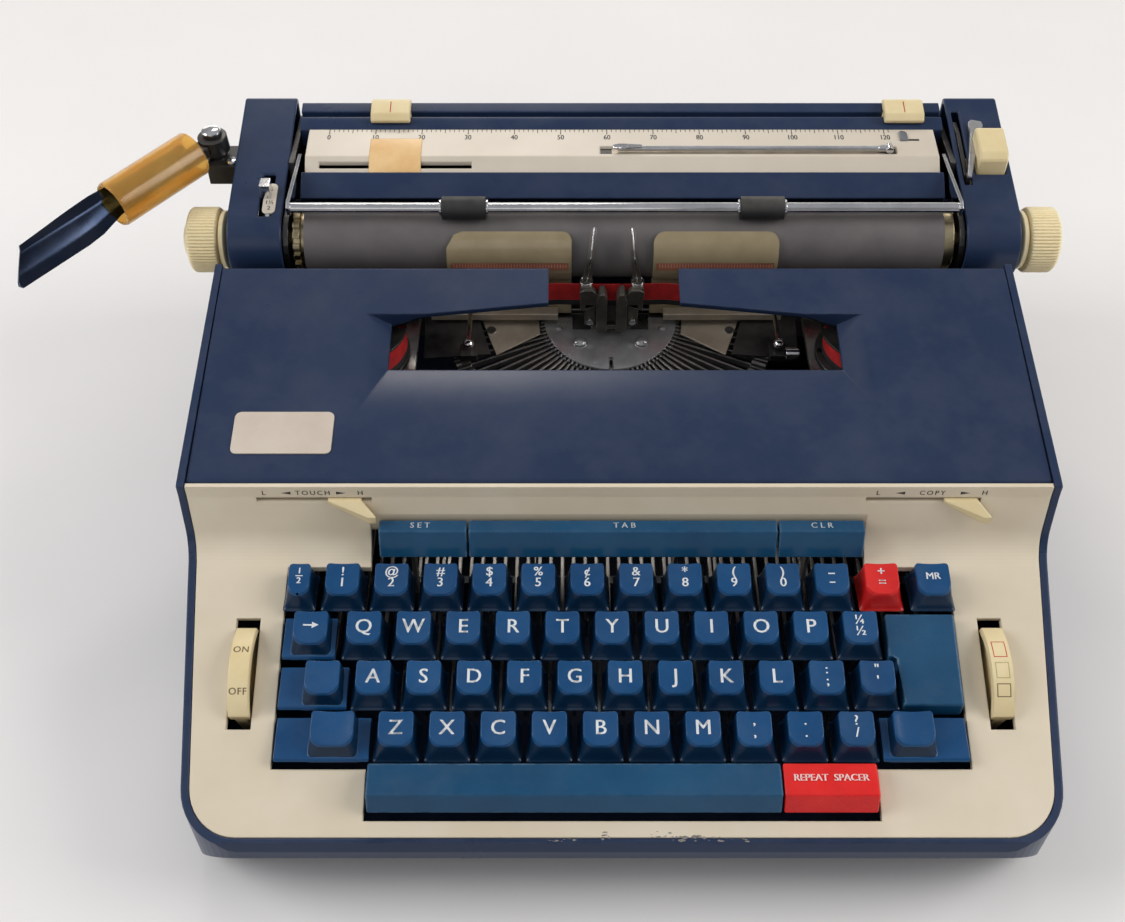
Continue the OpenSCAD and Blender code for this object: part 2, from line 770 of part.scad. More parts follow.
// Ribbed hand wheels, the left one with its push button
module platen_knobs() {
    color("cornsilk") on_carriage() for (s = [-1, 1])
        translate([s * (cw + 2), platen_y, platen_z]) rotate([0, s * 90, 0]) {
            difference() {
                rotate_extrude() polygon([[4.02, 0], [knob_r - 1.2, 0], [knob_r, 1.4],
                    [knob_r, knob_w - 2], [knob_r - 2, knob_w], [0, knob_w],
                    [0, knob_w - 3], [4.02, knob_w - 3]]);
                for (i = [0:23]) rotate([0, 0, i * 15])
                    box([knob_r - 0.7, -0.7, 2], [knob_r + 2, 0.7, knob_w - 2.6]);
            }
            if (s < 0) disc(0, 0, knob_w - 0.5, knob_w + 2.4, 5);
        }
}

module feed_roller() {
    color("dimgray") on_carriage() {
        rod_x(feed_y, feed_z, 2.5, -side_x - 2.4, side_x + 2.4);
        for (x = [-90, 0, 90]) rod_x(feed_y, feed_z, 4.9, x - 18, x + 18);
    }
}

// Rod across the platen on two swinging arms
module paper_bail() {
    color("silver") on_carriage() {
        rod_x(rod_y, rod_z, 2.4, -side_x + 0.8, side_x - 0.8);
        for (s = [-1, 1]) {
            along_x(s > 0 ? side_x - 2.4 : -side_x + 0.8,
                s > 0 ? side_x - 0.8 : -side_x + 2.4) polygon([
                [rod_y - 2, rod_z - 2.4], [rod_y - 3, rod_z + 2], [rod_y, rod_z + 3.6],
                [platen_y + 34, platen_z + 22], [platen_y + 37, platen_z + 18],
                [platen_y + 34, platen_z + 14.6], [platen_y + 20, platen_z + 16.4],
                [platen_y + 8, platen_z + 18.2]]);
            rod_x(platen_y + 33, platen_z + 18, 2, s > 0 ? side_x - 1 : -side_x - 2.4,
                s > 0 ? side_x + 2.4 : -side_x + 1);
        }
    }
}

module bail_rollers() {
    color("black") on_carriage() for (x = [-70, 60]) difference() {
        rod_x(rod_y, rod_z, 5, x - 9.5, x + 9.5);
        rod_x(rod_y, rod_z, 2.4 + fit, x - 12, x + 12);
    }
}

// Block on the left end that holds the return lever pin
module lever_bracket() {
    color("black") {
        box([carriage_x - cw - 13.5, pivot_y - 9, pivot_z - 17],
            [carriage_x - cw - 0.05, pivot_y + 7, pivot_z - 7.5]);
        disc(pivot_x, pivot_y, pivot_z - 8, pivot_z - 5.2, 5);
        disc(pivot_x, pivot_y, pivot_z - 6, pivot_z + 3.6, 3);
        disc(pivot_x, pivot_y, pivot_z + 3.4, pivot_z + 5, 4.4);
    }
}

// Lever in its own direction: x along the lever, z up at the pivot
module lever_frame() {
    translate([pivot_x, pivot_y, pivot_z]) rotate([0, 0, lever_dir])
        rotate([0, lever_droop, 0]) children();
}

module return_lever() {
    color("silver") {
        difference() {
            union() {
                disc(pivot_x, pivot_y, pivot_z - 4.8, pivot_z + 3.2, 8);
                lever_frame() rotate([-52, 0, 0]) {
                    translate([0, 0, -1.2]) linear_extrude(2.4) polygon([[7, -5.5], [7, 5.5],
                        [12, 7.4], [sleeve_end, 7.4], [sleeve_end + 9, 8.6],
                        [lever_len + 7.5, 8.6], [lever_len - 7.5, -8.6], [sleeve_end + 3, -8.6],
                        [sleeve_end, -7.4], [12, -7.4]]);
                    translate([0, -7.4, 0]) rotate([65, 0, 0])
                        box([sleeve_end + 5.3, -5.5, -0.8], [lever_len - 11, 0, 0.8]);
                }
            }
            disc(pivot_x, pivot_y, pivot_z - 20, pivot_z + 20, 3 + fit);
        }
    }
}

// Clear sleeve round the lever
module lever_sleeve() {
    color("goldenrod", 0.7) lever_frame() rotate([0, 90, 0]) difference() {
        translate([0, 0, sleeve_start]) cylinder(h = sleeve_end - sleeve_start - 0.3, r = 10.3);
        translate([0, 0, sleeve_start - 1]) cylinder(h = sleeve_end, r = 8);
    }
}

// Tab that slides in the slot of the left end cover
module line_space_lever() {
    color("silver") on_carriage() translate([-in_end(10.2), platen_y, platen_z])
        scale([end_k, 1, 1]) {
        box([-2.2, 5, 8], [2.2, 11, 25.5]);
        box([-4.8, 1, 9], [4.8, 15, 12]);
    }
}

// Chrome arm that lies along the right end cover
module paper_release_lever() {
    color("silver") on_carriage() translate([0, platen_y, platen_z]) {
        along_x(in_end(5.4), in_end(7.2)) polygon([[54, 18], [54, 31.6], [20, 29], [16, 24.4],
            [20, 24.2], [46, 26.2], [46, 18]]);
        rod_x(50, 22, 2, in_end(4.7), in_end(7.9));
    }
}

module carriage_release() {
    color("cornsilk") on_carriage() translate([in_end(17.3), platen_y + 29.5, platen_z])
        scale([end_k, 1, 1]) {
        along_x(-6.4, 6.4) polygon([[-9, 14], [-9, 28], [-6, 30.8], [8, 33.4], [9, 32.6], [9, 14]]);
        box([-7.6, -10.6, 13], [6.8, 10.6, 15.4]);
    }
}

// Rod that lies in the tray of the scale panel and lifts at its right end
module paper_support() {
    color("silver") on_carriage() {
        rod_x(platen_y + 33.5, platen_z + 25.3, 1.2, side_x - 150, side_x - 29);
        translate([side_x - 27, platen_y + 35.5, platen_z + 25.3]) rotate([90, 0, 0])
            cylinder(h = 4, r = 1.7);
        rod_x(platen_y + 33.5, platen_z + 25.3, 1.6, side_x - 32, side_x - 27);
    }
}

// Four-sided block from a base to a sloping top, both given in Y
module wedge(x, y, z, w0, a0, a1, w1, b0, b1, h, a) {
    t = tan(a);
    translate([x, y, z]) polyhedron(
        points = [[-w0 / 2, a0, -h], [w0 / 2, a0, -h], [w0 / 2, a1, -h], [-w0 / 2, a1, -h],
            [-w1 / 2, b0, b0 * t], [w1 / 2, b0, b0 * t], [w1 / 2, b1, b1 * t],
            [-w1 / 2, b1, b1 * t]],
        faces = [[0, 1, 2, 3], [4, 7, 6, 5], [0, 4, 5, 1], [1, 5, 6, 2], [2, 6, 7, 3],
            [3, 7, 4, 0]]);
}

// Key cap with a dished top, on row i
module cap(x, i, w) {
    wt = w - key_w + cap_w;
    difference() {
        wedge(x, row_y(i), row_z(i), w, -key_d / 2 - 0.3, key_d / 2 - 0.3, wt, -6.5, 6.5,
            cap_h, 11);
        translate([x, row_y(i), row_z(i)]) rotate([101, 0, 0]) translate([0, 27.3, -30])
            cylinder(h = 60, r = 28);
    }
}

// Wide foot beside a cap, from x0 to x1 on row i
module plinth(x0, x1, i) {
    translate([0, row_y(i), row_z(i) - cap_h]) along_x(x0, x1)
        polygon([[-key_d / 2 - 0.3, 0], [key_d / 2 - 0.3, 0], [key_d / 2 - 1, 4.4],
            [-key_d / 2 + 0.6, 1.6]]);
}

// Steel strip from the fulcrum shaft, its edge at up, to a stem with its top at z
module lever(x, y, z, up = 3) {
    along_x(x - lever_t / 2, x + lever_t / 2) difference() {
        union() {
            translate([y - 2.5, ful_z - 3]) square([5, z - ful_z + 3]);
            translate([y - 2.5, ful_z - 3]) square([ful_y - y + 2.5, 3 + up]);
            translate([ful_y, ful_z]) circle(r = 5.5);
        }
        translate([ful_y, ful_z]) circle(r = ful_r + fit);
    }
}

module caps(keys, i) {
    for (k = keys) cap(k[0], i, k[1]);
}

module levers(keys, i) {
    for (k = keys) lever(k[0], row_y(i), row_z(i) - cap_h);
}

back_x = up_x - 20.4;
lock_x = home_x - 19.2;

module number_keys() {
    color("steelblue") caps(num_keys, 0);
}

module number_levers() {
    color("silver") levers(num_keys, 0);
}

module upper_keys() {
    color("steelblue") {
        caps(up_keys, 1);
        cap(back_x, 1, key_w);
        plinth(-edge_x, back_x + key_w / 2 + 1.4, 1);
    }
}

module upper_levers() {
    color("silver") levers(concat([[back_x, 0]], up_keys), 1);
}

module home_keys() {
    color("steelblue") {
        caps(home_keys_x, 2);
        cap(lock_x, 2, key_w);
        plinth(-edge_x, lock_x + key_w / 2 + 1.2, 2);
    }
}

module home_levers() {
    color("silver") levers(concat([[lock_x, 0]], home_keys_x), 2);
}

module lower_keys() {
    color("steelblue") caps(low_keys, 3);
}

module lower_levers() {
    color("silver") levers(low_keys, 3);
}

// Both shift keys on one rod, so that they move together
module shift_keys() {
    xl = low_x - 23.6;
    xr = low_x + 9 * key_pitch + 21.2;
    color("steelblue") {
        cap(xl, 3, 19);
        plinth(-edge_x, low_x - key_w / 2 - 2, 3);
        cap(xr, 3, 18);
        plinth(low_x + 9 * key_pitch + key_w / 2 + 1.8, edge_x, 3);
        for (x = [-103, 109]) {
            lever(x, row_y(3), row_z(3) - cap_h + 0.4, low_up);
            box([x - lever_t / 2, -23, 32], [x + lever_t / 2, -17, ful_z]);
        }
        rod_x(-20, 35, 2, -103.5, 109.5);
    }
}

// Flat return key in the shape of a corner
module return_key() {
    x0 = up_x + 10 * key_pitch + key_w / 2 + 2.4;
    x1 = home_x + 10 * key_pitch + key_w / 2 + 1.6;
    ym = (row_y(1) + row_y(2)) / 2;
    color("steelblue") {
        flat_key(x0, edge_x, ym, row_y(1) + 8.6);
        flat_key(x1, edge_x, row_y(2) - 8.6, ym + 0.1);
        lever(116.6, row_y(2) + 6, deck_z(row_y(2) + 3.5) - 1.5);
    }
}

module flat_key(x0, x1, y0, y1) {
    along_x(x0, x1) polygon([[y0, deck_z(y0) - 2.2], [y1, deck_z(y1) - 2.2], [y1, deck_z(y1) + 5.4],
        [y0, deck_z(y0) + 5.4]]);
}

// Long bar in front of the lower row, from x0 to x1
module front_bar(x0, x1) {
    translate([0, row_y(3), row_z(3)]) along_x(x0, x1)
        polygon([[-11.4, -16], [-12, -6.6], [-23.6, -8], [-26.8, -16]]);
}

module space_bar() {
    color("steelblue") {
        front_bar(-94, 58.5);
        for (x = [-72, 42.3]) lever(x, row_y(3) - 18, row_z(3) - 15.5, low_up);
    }
}

module repeat_key() {
    color("crimson") {
        front_bar(59.3, 94);
        lever(80.4, row_y(3) - 18, row_z(3) - 15.5, low_up);
    }
}

// Bar at the foot of the rise, from x0 to x1
module rear_bar(x0, x1) {
    translate([0, neck_y, neck_z]) along_x(x0, x1)
        polygon([[2.6, 1.3], [2.6, 12.6], [-3, 12.3], [-7.6, 1.3]]);
}

module tab_bar() {
    color("steelblue") {
        rear_bar(-58.9, 62.4);
        for (x = [-33.9, 23.2]) lever(x, neck_y - 2.5, neck_z + 2);
    }
}

module tab_set_keys() {
    color("steelblue") {
        rear_bar(-94.2, -59.7);
        lever(-81.6, neck_y - 2.5, neck_z + 2);
        rear_bar(63.2, 96.8);
        lever(75.6, neck_y - 2.5, neck_z + 2);
    }
}

base_plate();
front_rim();
side_cheeks();
keyboard_panel();
rubber_feet();
chassis();
fulcrum_shaft();
type_segment();
typebars();
centre_typebar();
type_guide();
card_holders();
ribbon();
left_spool();
right_spool();
motor();
motor_pulley();
drive_belt();
power_roller();
carriage_rails();
cord_gland();
ribbon_cover();
power_rocker();
ribbon_selector();
touch_lever();
copy_lever();
carriage_frame();
end_covers();
paper_table();
scale_panel();
margin_rail();
left_margin_stop();
right_margin_stop();
platen_roller();
platen_shaft();
platen_knobs();
feed_roller();
paper_bail();
bail_rollers();
lever_bracket();
return_lever();
lever_sleeve();
line_space_lever();
paper_release_lever();
carriage_release();
paper_support();
number_keys();
number_levers();
upper_keys();
upper_levers();
home_keys();
home_levers();
lower_keys();
lower_levers();
shift_keys();
return_key();
space_bar();
repeat_key();
tab_bar();
tab_set_keys();
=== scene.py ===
"""Looks of an electric portable typewriter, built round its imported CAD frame."""

import math
import random

import bmesh
import bpy
from mathutils import Matrix, Vector


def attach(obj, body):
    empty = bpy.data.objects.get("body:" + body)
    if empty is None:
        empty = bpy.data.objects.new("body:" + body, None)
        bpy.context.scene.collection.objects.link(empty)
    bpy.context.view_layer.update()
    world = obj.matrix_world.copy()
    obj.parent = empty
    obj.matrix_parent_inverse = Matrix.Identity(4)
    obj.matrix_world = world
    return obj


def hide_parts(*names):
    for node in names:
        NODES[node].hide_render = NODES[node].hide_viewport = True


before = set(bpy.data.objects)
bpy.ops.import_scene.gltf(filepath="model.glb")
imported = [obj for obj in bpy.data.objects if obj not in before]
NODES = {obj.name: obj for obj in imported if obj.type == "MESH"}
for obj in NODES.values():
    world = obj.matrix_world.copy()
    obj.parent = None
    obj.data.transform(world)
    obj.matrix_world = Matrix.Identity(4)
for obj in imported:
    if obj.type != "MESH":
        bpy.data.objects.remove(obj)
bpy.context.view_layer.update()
MM = 0.001

# Places in the part's frame, in millimetres, as in the CAD source
KEY_PITCH = 19.05
ROW_Y = [-76.6 - 18.8 * i for i in range(4)]
ROW_Z = [79.4 - 5.8 * i for i in range(4)]
KEY_W, CAP_H, CAP_FLARE = 16.0, 9.4, 0.7
CAP_FRONT, CAP_REAR = -9.5, 7.9
TOP_TILT = math.radians(11)
DISH_DEPTH, DISH_R = 0.7, 28.0
EDGE_X = 129.57
NUMBER_X = [-107.63 + KEY_PITCH * i for i in range(11)]
UPPER_X = [-98.2 + KEY_PITCH * i for i in range(11)]
HOME_X = [-93.54 + KEY_PITCH * i for i in range(11)]
LOWER_X = [-84.01 + KEY_PITCH * i for i in range(10)]
DECK_SLOPE = 5.8 / 18.8
NECK_Y, NECK_Z = -57.5, 75.7
FULCRUM_Y, FULCRUM_Z = 20.0, 46.0
LOW_EDGE = 1.2
COVER_HINGE = (-46.2, 101.3)
COVER_SLOPE = math.radians(9.2)
COVER_T = 2.4
CARRIAGE_X = 5.0
PLATEN_Y, PLATEN_Z, PLATEN_R = 89.02, 112.5, 16.5
SIDE_X, END_X = 148.0, 174.5
SEGMENT_Y, SEGMENT_Z = 75.0, 77.0
SEGMENT_TILT = math.radians(8)
SPOOL_X, SPOOL_Y, SPOOL_Z = 112.0, 40.0, 89.2


def srgb(r, g, b):
    """Linear colour of screen values from 0 to 255."""
    def linear(c):
        c /= 255
        return c / 12.92 if c <= 0.04045 else ((c + 0.055) / 1.055) ** 2.4
    return (linear(r), linear(g), linear(b), 1.0)


# Shader groups: each puts out only varying masks, values or normals


def new_group(name, inputs, outputs):
    tree = bpy.data.node_groups.new(name, "ShaderNodeTree")
    for kind, label, value in inputs:
        socket = tree.interface.new_socket(label, in_out="INPUT", socket_type="NodeSocket" + kind)
        if value is not None:
            socket.default_value = value
    for kind, label in outputs:
        tree.interface.new_socket(label, in_out="OUTPUT", socket_type="NodeSocket" + kind)
    return tree, tree.nodes.new("NodeGroupInput"), tree.nodes.new("NodeGroupOutput")


def noise(tree, vector, scale, detail=3.0, rough=0.5):
    node = tree.nodes.new("ShaderNodeTexNoise")
    node.inputs["Detail"].default_value = detail
    node.inputs["Roughness"].default_value = rough
    tree.links.new(vector, node.inputs["Vector"])
    if isinstance(scale, float):
        node.inputs["Scale"].default_value = scale
    else:
        tree.links.new(scale, node.inputs["Scale"])
    return node.outputs["Fac"]


def span(tree, value, low, high, out_low=0.0, out_high=1.0):
    """Map a value from one range to another and keep it inside."""
    node = tree.nodes.new("ShaderNodeMapRange")
    for label, given in (("Value", value), ("From Min", low), ("From Max", high),
                         ("To Min", out_low), ("To Max", out_high)):
        if isinstance(given, float):
            node.inputs[label].default_value = given
        else:
            tree.links.new(given, node.inputs[label])
    return node.outputs["Result"]


def times(tree, a, b):
    node = tree.nodes.new("ShaderNodeMath")
    node.operation = "MULTIPLY"
    for socket, given in zip(node.inputs, (a, b)):
        if isinstance(given, float):
            socket.default_value = given
        else:
            tree.links.new(given, socket)
    return node.outputs[0]


def make_grain_group():
    """Blotches of tone, uneven gloss between two levels, and fine height."""
    tree, given, out = new_group(
        "surface_grain",
        [("Vector", "Vector", None), ("Float", "Scale", 60.0),
         ("Float", "Gloss Low", 0.3), ("Float", "Gloss High", 0.5)],
        [("Float", "Tone"), ("Float", "Gloss"), ("Float", "Height")])
    tone = noise(tree, given.outputs["Vector"], given.outputs["Scale"], 4.0, 0.6)
    tree.links.new(span(tree, tone, 0.3, 0.7), out.inputs["Tone"])
    smear = noise(tree, given.outputs["Vector"], times(tree, given.outputs["Scale"], 0.6), 6.0, 0.65)
    gloss = span(tree, smear, 0.3, 0.7, given.outputs["Gloss Low"], given.outputs["Gloss High"])
    tree.links.new(gloss, out.inputs["Gloss"])
    fine = noise(tree, given.outputs["Vector"], times(tree, given.outputs["Scale"], 25.0), 2.0, 0.5)
    tree.links.new(fine, out.inputs["Height"])
    return tree


def make_dust_group():
    """Mask of dust that settles in patches on faces that look up."""
    tree, given, out = new_group(
        "settled_dust",
        [("Vector", "Vector", None), ("Float", "Amount", 0.3)], [("Float", "Mask")])
    geometry = tree.nodes.new("ShaderNodeNewGeometry")
    split = tree.nodes.new("ShaderNodeSeparateXYZ")
    tree.links.new(geometry.outputs["Normal"], split.inputs[0])
    upward = span(tree, split.outputs["Z"], 0.2, 0.95)
    patches = span(tree, noise(tree, given.outputs["Vector"], 35.0, 8.0, 0.7), 0.42, 0.72)
    tree.links.new(times(tree, times(tree, upward, patches), given.outputs["Amount"]),
                   out.inputs["Mask"])
    return tree


def make_edge_group():
    """Softened normal near edges, and a broken mask along edges, used for rubbed wear and, on the blue
    bars, for a painted highlight.
    """
    tree, given, out = new_group(
        "soft_edges",
        [("Vector", "Vector", None), ("Float", "Radius", 0.0006), ("Float", "Amount", 0.5)],
        [("Float", "Mask"), ("Vector", "Normal")])
    bevel = tree.nodes.new("ShaderNodeBevel")
    bevel.samples = 4
    tree.links.new(given.outputs["Radius"], bevel.inputs["Radius"])
    geometry = tree.nodes.new("ShaderNodeNewGeometry")
    dot = tree.nodes.new("ShaderNodeVectorMath")
    dot.operation = "DOT_PRODUCT"
    tree.links.new(bevel.outputs["Normal"], dot.inputs[0])
    tree.links.new(geometry.outputs["Normal"], dot.inputs[1])
    near = span(tree, dot.outputs["Value"], 0.995, 0.9)
    broken = span(tree, noise(tree, given.outputs["Vector"], 180.0, 5.0, 0.7), 0.38, 0.62)
    tree.links.new(times(tree, times(tree, near, broken), given.outputs["Amount"]),
                   out.inputs["Mask"])
    tree.links.new(bevel.outputs["Normal"], out.inputs["Normal"])
    return tree


GRAIN = make_grain_group()
DUST = make_dust_group()
EDGES = make_edge_group()
DUST_COLOUR = srgb(176, 168, 152)


def use_group(tree, group, **values):
    node = tree.nodes.new("ShaderNodeGroup")
    node.node_tree = group
    for label, given in values.items():
        socket = node.inputs[label.replace("_", " ")]
        if isinstance(given, (int, float)):
            socket.default_value = given
        else:
            tree.links.new(given, socket)
    return node


def blend_colour(tree, amount, first, second):
    node = tree.nodes.new("ShaderNodeMix")
    node.data_type = "RGBA"
    tree.links.new(amount, node.inputs["Factor"])
    for label, given in (("A", first), ("B", second)):
        socket = [s for s in node.inputs if s.name == label and s.type == "RGBA"][0]
        if isinstance(given, tuple):
            socket.default_value = given
        else:
            tree.links.new(given, socket)
    return [s for s in node.outputs if s.type == "RGBA"][0]


def new_material(name, constants):
    material = bpy.data.materials.new(name)
    material.use_nodes = True
    tree = material.node_tree
    shader = tree.nodes["Principled BSDF"]
    for label, value in constants.items():
        shader.inputs[label].default_value = value
    place = tree.nodes.new("ShaderNodeTexCoord").outputs["Object"]
    return material, tree, shader, place


def surface(name, dark, light, gloss, scale=60.0, grain=0.0, dust=0.0, rub=None, edge_rub_and_highlight_amount=0.5,
            edge=0.0006, **constants):
    """Opaque finish: two close tones, uneven gloss, fine grain, settled dust, and an edge colour that
    is rubbed wear on most finishes and a painted highlight on the blue bars.
    """
    labels = {k.replace("_", " "): v for k, v in constants.items()}
    material, tree, shader, place = new_material(name, labels)
    marks = use_group(tree, GRAIN, Vector=place, Scale=scale, Gloss_Low=gloss[0], Gloss_High=gloss[1])
    colour = blend_colour(tree, marks.outputs["Tone"], srgb(*dark), srgb(*light))
    edges = use_group(tree, EDGES, Vector=place, Radius=edge, Amount=edge_rub_and_highlight_amount)
    # Edge colour: rubbed wear on most finishes; on the blue bars it is a painted highlight.
    if rub:
        colour = blend_colour(tree, edges.outputs["Mask"], colour, srgb(*rub))
    if dust:
        settled = use_group(tree, DUST, Vector=place, Amount=dust)
        colour = blend_colour(tree, settled.outputs["Mask"], colour, DUST_COLOUR)
    tree.links.new(colour, shader.inputs["Base Color"])
    tree.links.new(marks.outputs["Gloss"], shader.inputs["Roughness"])
    bump = tree.nodes.new("ShaderNodeBump")
    bump.inputs["Strength"].default_value = grain
    bump.inputs["Distance"].default_value = 0.0002
    tree.links.new(marks.outputs["Height"], bump.inputs["Height"])
    tree.links.new(edges.outputs["Normal"], bump.inputs["Normal"])
    tree.links.new(bump.outputs["Normal"], shader.inputs["Normal"])
    return material


KNOB_CREAM = surface("knob_cream", (238, 220, 172), (247, 233, 193), (0.32, 0.45), 50.0, 0.08, 0.04,
                     (198, 178, 128), 0.3)
LOW_SHINE = {"Specular IOR Level": 0.28}
BLUE_PAINT = surface("blue_paint", (32, 47, 75), (35, 51, 80), (0.26, 0.34), 9.0, 0.08, 0.04,
                     (84, 96, 122), 0.35, 0.001, **LOW_SHINE)
CREAM_PANEL = surface("cream_panel", (212, 198, 172), (224, 213, 192), (0.36, 0.48), 14.0, 0.1, 0.04,
                      (190, 172, 144), 0.35, 0.0008)
SCALE_CREAM = surface("scale_cream", (204, 193, 176), (218, 208, 192), (0.3, 0.42), 14.0, 0.05, 0.03,
                      (190, 172, 144), 0.3)
CREAM_PLASTIC = surface("cream_plastic", (219, 199, 150), (231, 214, 171), (0.32, 0.45), 50.0, 0.08,
                        0.04, (198, 178, 128), 0.4)
BLUE_KEY = surface("blue_key", (16, 64, 108), (23, 77, 124), (0.16, 0.28), 30.0, 0.03, 0.04,
                   (84, 132, 172), 0.4, 0.0004, **LOW_SHINE)
# Blue bars: the pale edge colour is a painted highlight along their edges, not wear.
BLUE_BAR = surface("blue_bar", (20, 66, 100), (29, 80, 116), (0.18, 0.3), 24.0, 0.03, 0.04,
                   (134, 174, 198), 0.7, 0.0009, **LOW_SHINE)
RED_KEY = surface("red_key", (206, 28, 30), (228, 44, 40), (0.2, 0.32), 40.0, 0.03, 0.03,
                  (240, 120, 106), 0.4, 0.0004, **LOW_SHINE)
# Darker copies of the key colours for the caps' sides: painted shade on faces that look away from the
# light, though the keys are one colour.
BLUE_SIDE_PAINTED_SHADE = surface("blue_key_side_painted_shade", (8, 35, 60), (12, 42, 70), (0.16, 0.28), 30.0, 0.03, 0.04,
                    (70, 112, 148), 0.4, 0.0004, **LOW_SHINE)
RED_SIDE_PAINTED_SHADE = surface("red_key_side_painted_shade", (176, 20, 22), (196, 32, 30), (0.2, 0.32), 40.0, 0.03, 0.03,
                   (240, 120, 106), 0.4, 0.0004, **LOW_SHINE)
STEEL = surface("steel", (150, 150, 150), (186, 185, 182), (0.22, 0.42), 90.0, 0.05, 0.1,
                Metallic=1.0)
DARK_STEEL = surface("dark_steel", (62, 62, 64), (92, 90, 88), (0.28, 0.5), 90.0, 0.05, 0.12,
                     (150, 148, 144), 0.6, Metallic=0.85)
CHROME = surface("chrome", (196, 197, 200), (226, 226, 228), (0.06, 0.16), 70.0, 0.01, 0.05,
                 Metallic=1.0)
BRASSY_STEEL = surface("brassy_steel", (150, 138, 110), (186, 172, 140), (0.2, 0.4), 90.0, 0.03,
                       0.06, Metallic=1.0)
PLATEN_RUBBER = surface("platen_rubber", (88, 84, 85), (104, 99, 99), (0.5, 0.66), 40.0, 0.15, 0.05)
BLACK_RUBBER = surface("black_rubber", (26, 26, 27), (42, 42, 43), (0.5, 0.68), 80.0, 0.2, 0.14)
RED_INK = surface("ribbon_red", (150, 14, 18), (190, 26, 28), (0.6, 0.8), 200.0, 0.4)
BLACK_INK = surface("ribbon_black", (16, 15, 16), (34, 32, 33), (0.6, 0.8), 200.0, 0.4)
BLACK_PLASTIC = surface("black_plastic", (16, 16, 17), (32, 32, 34), (0.25, 0.42), 70.0, 0.06, 0.1,
                        (80, 80, 82), 0.5)
MOTOR_CAN = surface("motor_can", (84, 86, 88), (118, 120, 122), (0.3, 0.5), 60.0, 0.06, 0.16,
                    Metallic=0.9)
LEGEND_WHITE = surface("legend_white", (206, 210, 212), (226, 229, 230), (0.3, 0.42), 200.0)
PRINT_BLACK = surface("print_black", (28, 27, 28), (52, 50, 50), (0.45, 0.6), 300.0)
PRINT_RED = surface("print_red", (176, 44, 40), (206, 70, 62), (0.45, 0.6), 300.0)
AGED_TAPE = surface("aged_tape", (222, 178, 118), (236, 200, 146), (0.3, 0.45), 70.0, 0.06, 0.03,
                    (204, 160, 98), 0.5)
PRINT_PINK = surface("print_pink", (206, 132, 116), (224, 158, 142), (0.35, 0.5), 300.0)
PRINT_COPPER = surface("print_copper", (146, 92, 70), (168, 110, 86), (0.35, 0.5), 120.0)
BRIGHT_PLATE = surface("bright_plate", (158, 158, 160), (190, 190, 192), (0.16, 0.3), 160.0, 0.05,
                       0.2, Metallic=0.65)
SATIN_STEEL = surface("satin_steel", (176, 164, 146), (204, 192, 174), (0.3, 0.45), 90.0, 0.05, 0.08,
                      Metallic=0.6)
GUIDE_STEEL = surface("guide_steel", (92, 88, 82), (128, 122, 114), (0.28, 0.45), 90.0, 0.05, 0.1,
                      Metallic=0.8)
BAR_STEEL = surface("bar_steel", (132, 130, 128), (172, 170, 166), (0.22, 0.4), 90.0, 0.04, 0.05,
                    Metallic=0.9)
# Chrome with a painted navy reflection in its colour, for the return lever's blade.
NAVY_REFLECTION_CHROME = surface("chrome_painted_navy_reflection", (32, 40, 56), (46, 55, 74), (0.08, 0.18), 50.0, 0.01, 0.04,
                       Metallic=1.0)
BARE_GREY = surface("bare_grey", (118, 112, 106), (152, 144, 134), (0.5, 0.65), 200.0)
LEGEND_PINK = surface("legend_pink", (246, 206, 202), (252, 220, 216), (0.35, 0.45), 200.0)
PRINT_BROWN = surface("print_brown", (96, 78, 56), (120, 100, 74), (0.45, 0.6), 300.0)
PRINT_PALE = surface("print_pale", (170, 160, 112), (186, 176, 128), (0.45, 0.6), 300.0)
NAME_PLATE = surface("name_plate", (198, 184, 168), (208, 196, 182), (0.28, 0.4), 60.0, 0.04, 0.03,
                     (222, 214, 204), 0.4, 0.0003)
PLATE_METAL = surface("plate_metal", (120, 124, 132), (150, 153, 160), (0.3, 0.42), 120.0, 0.05,
                      0.06, Metallic=0.8)


def clear_finish(name, dark, light, gloss, transmission):
    """See-through plastic with uneven tint and gloss."""
    material, tree, shader, place = new_material(
        name, {"Transmission Weight": transmission, "IOR": 1.46})
    marks = use_group(tree, GRAIN, Vector=place, Scale=60.0, Gloss_Low=gloss[0], Gloss_High=gloss[1])
    colour = blend_colour(tree, marks.outputs["Tone"], srgb(*dark), srgb(*light))
    tree.links.new(colour, shader.inputs["Base Color"])
    tree.links.new(marks.outputs["Gloss"], shader.inputs["Roughness"])
    return material


CLEAR_PLASTIC = clear_finish("clear_plastic", (168, 152, 118), (188, 172, 138), (0.1, 0.2), 0.35)
AMBER_SLEEVE = clear_finish("amber_sleeve", (236, 178, 72), (248, 204, 110), (0.14, 0.26), 0.72)

# Finishes of the CAD nodes that stay on show

NODE_FINISH = {
    BLUE_PAINT: ["base_plate", "front_rim", "side_cheeks", "ribbon_cover", "end_covers",
                 "paper_table", "margin_rail"],
    CREAM_PANEL: ["keyboard_panel"],
    SCALE_CREAM: ["scale_panel"],
    CREAM_PLASTIC: ["power_rocker", "ribbon_selector", "touch_lever", "copy_lever"],
    STEEL: ["chassis", "fulcrum_shaft", "carriage_rails", "motor_pulley", "number_levers",
            "upper_levers", "home_levers", "lower_levers", "type_segment"],
    DARK_STEEL: ["power_roller", "carriage_frame"],
    CHROME: ["paper_bail", "paper_support", "line_space_lever"],
    BRASSY_STEEL: ["platen_shaft"],
    PLATEN_RUBBER: ["platen_roller"],
    BLACK_RUBBER: ["rubber_feet", "feed_roller", "bail_rollers", "drive_belt", "cord_gland"],
    BLACK_PLASTIC: ["lever_bracket", "left_spool", "right_spool"],
    MOTOR_CAN: ["motor"],
}
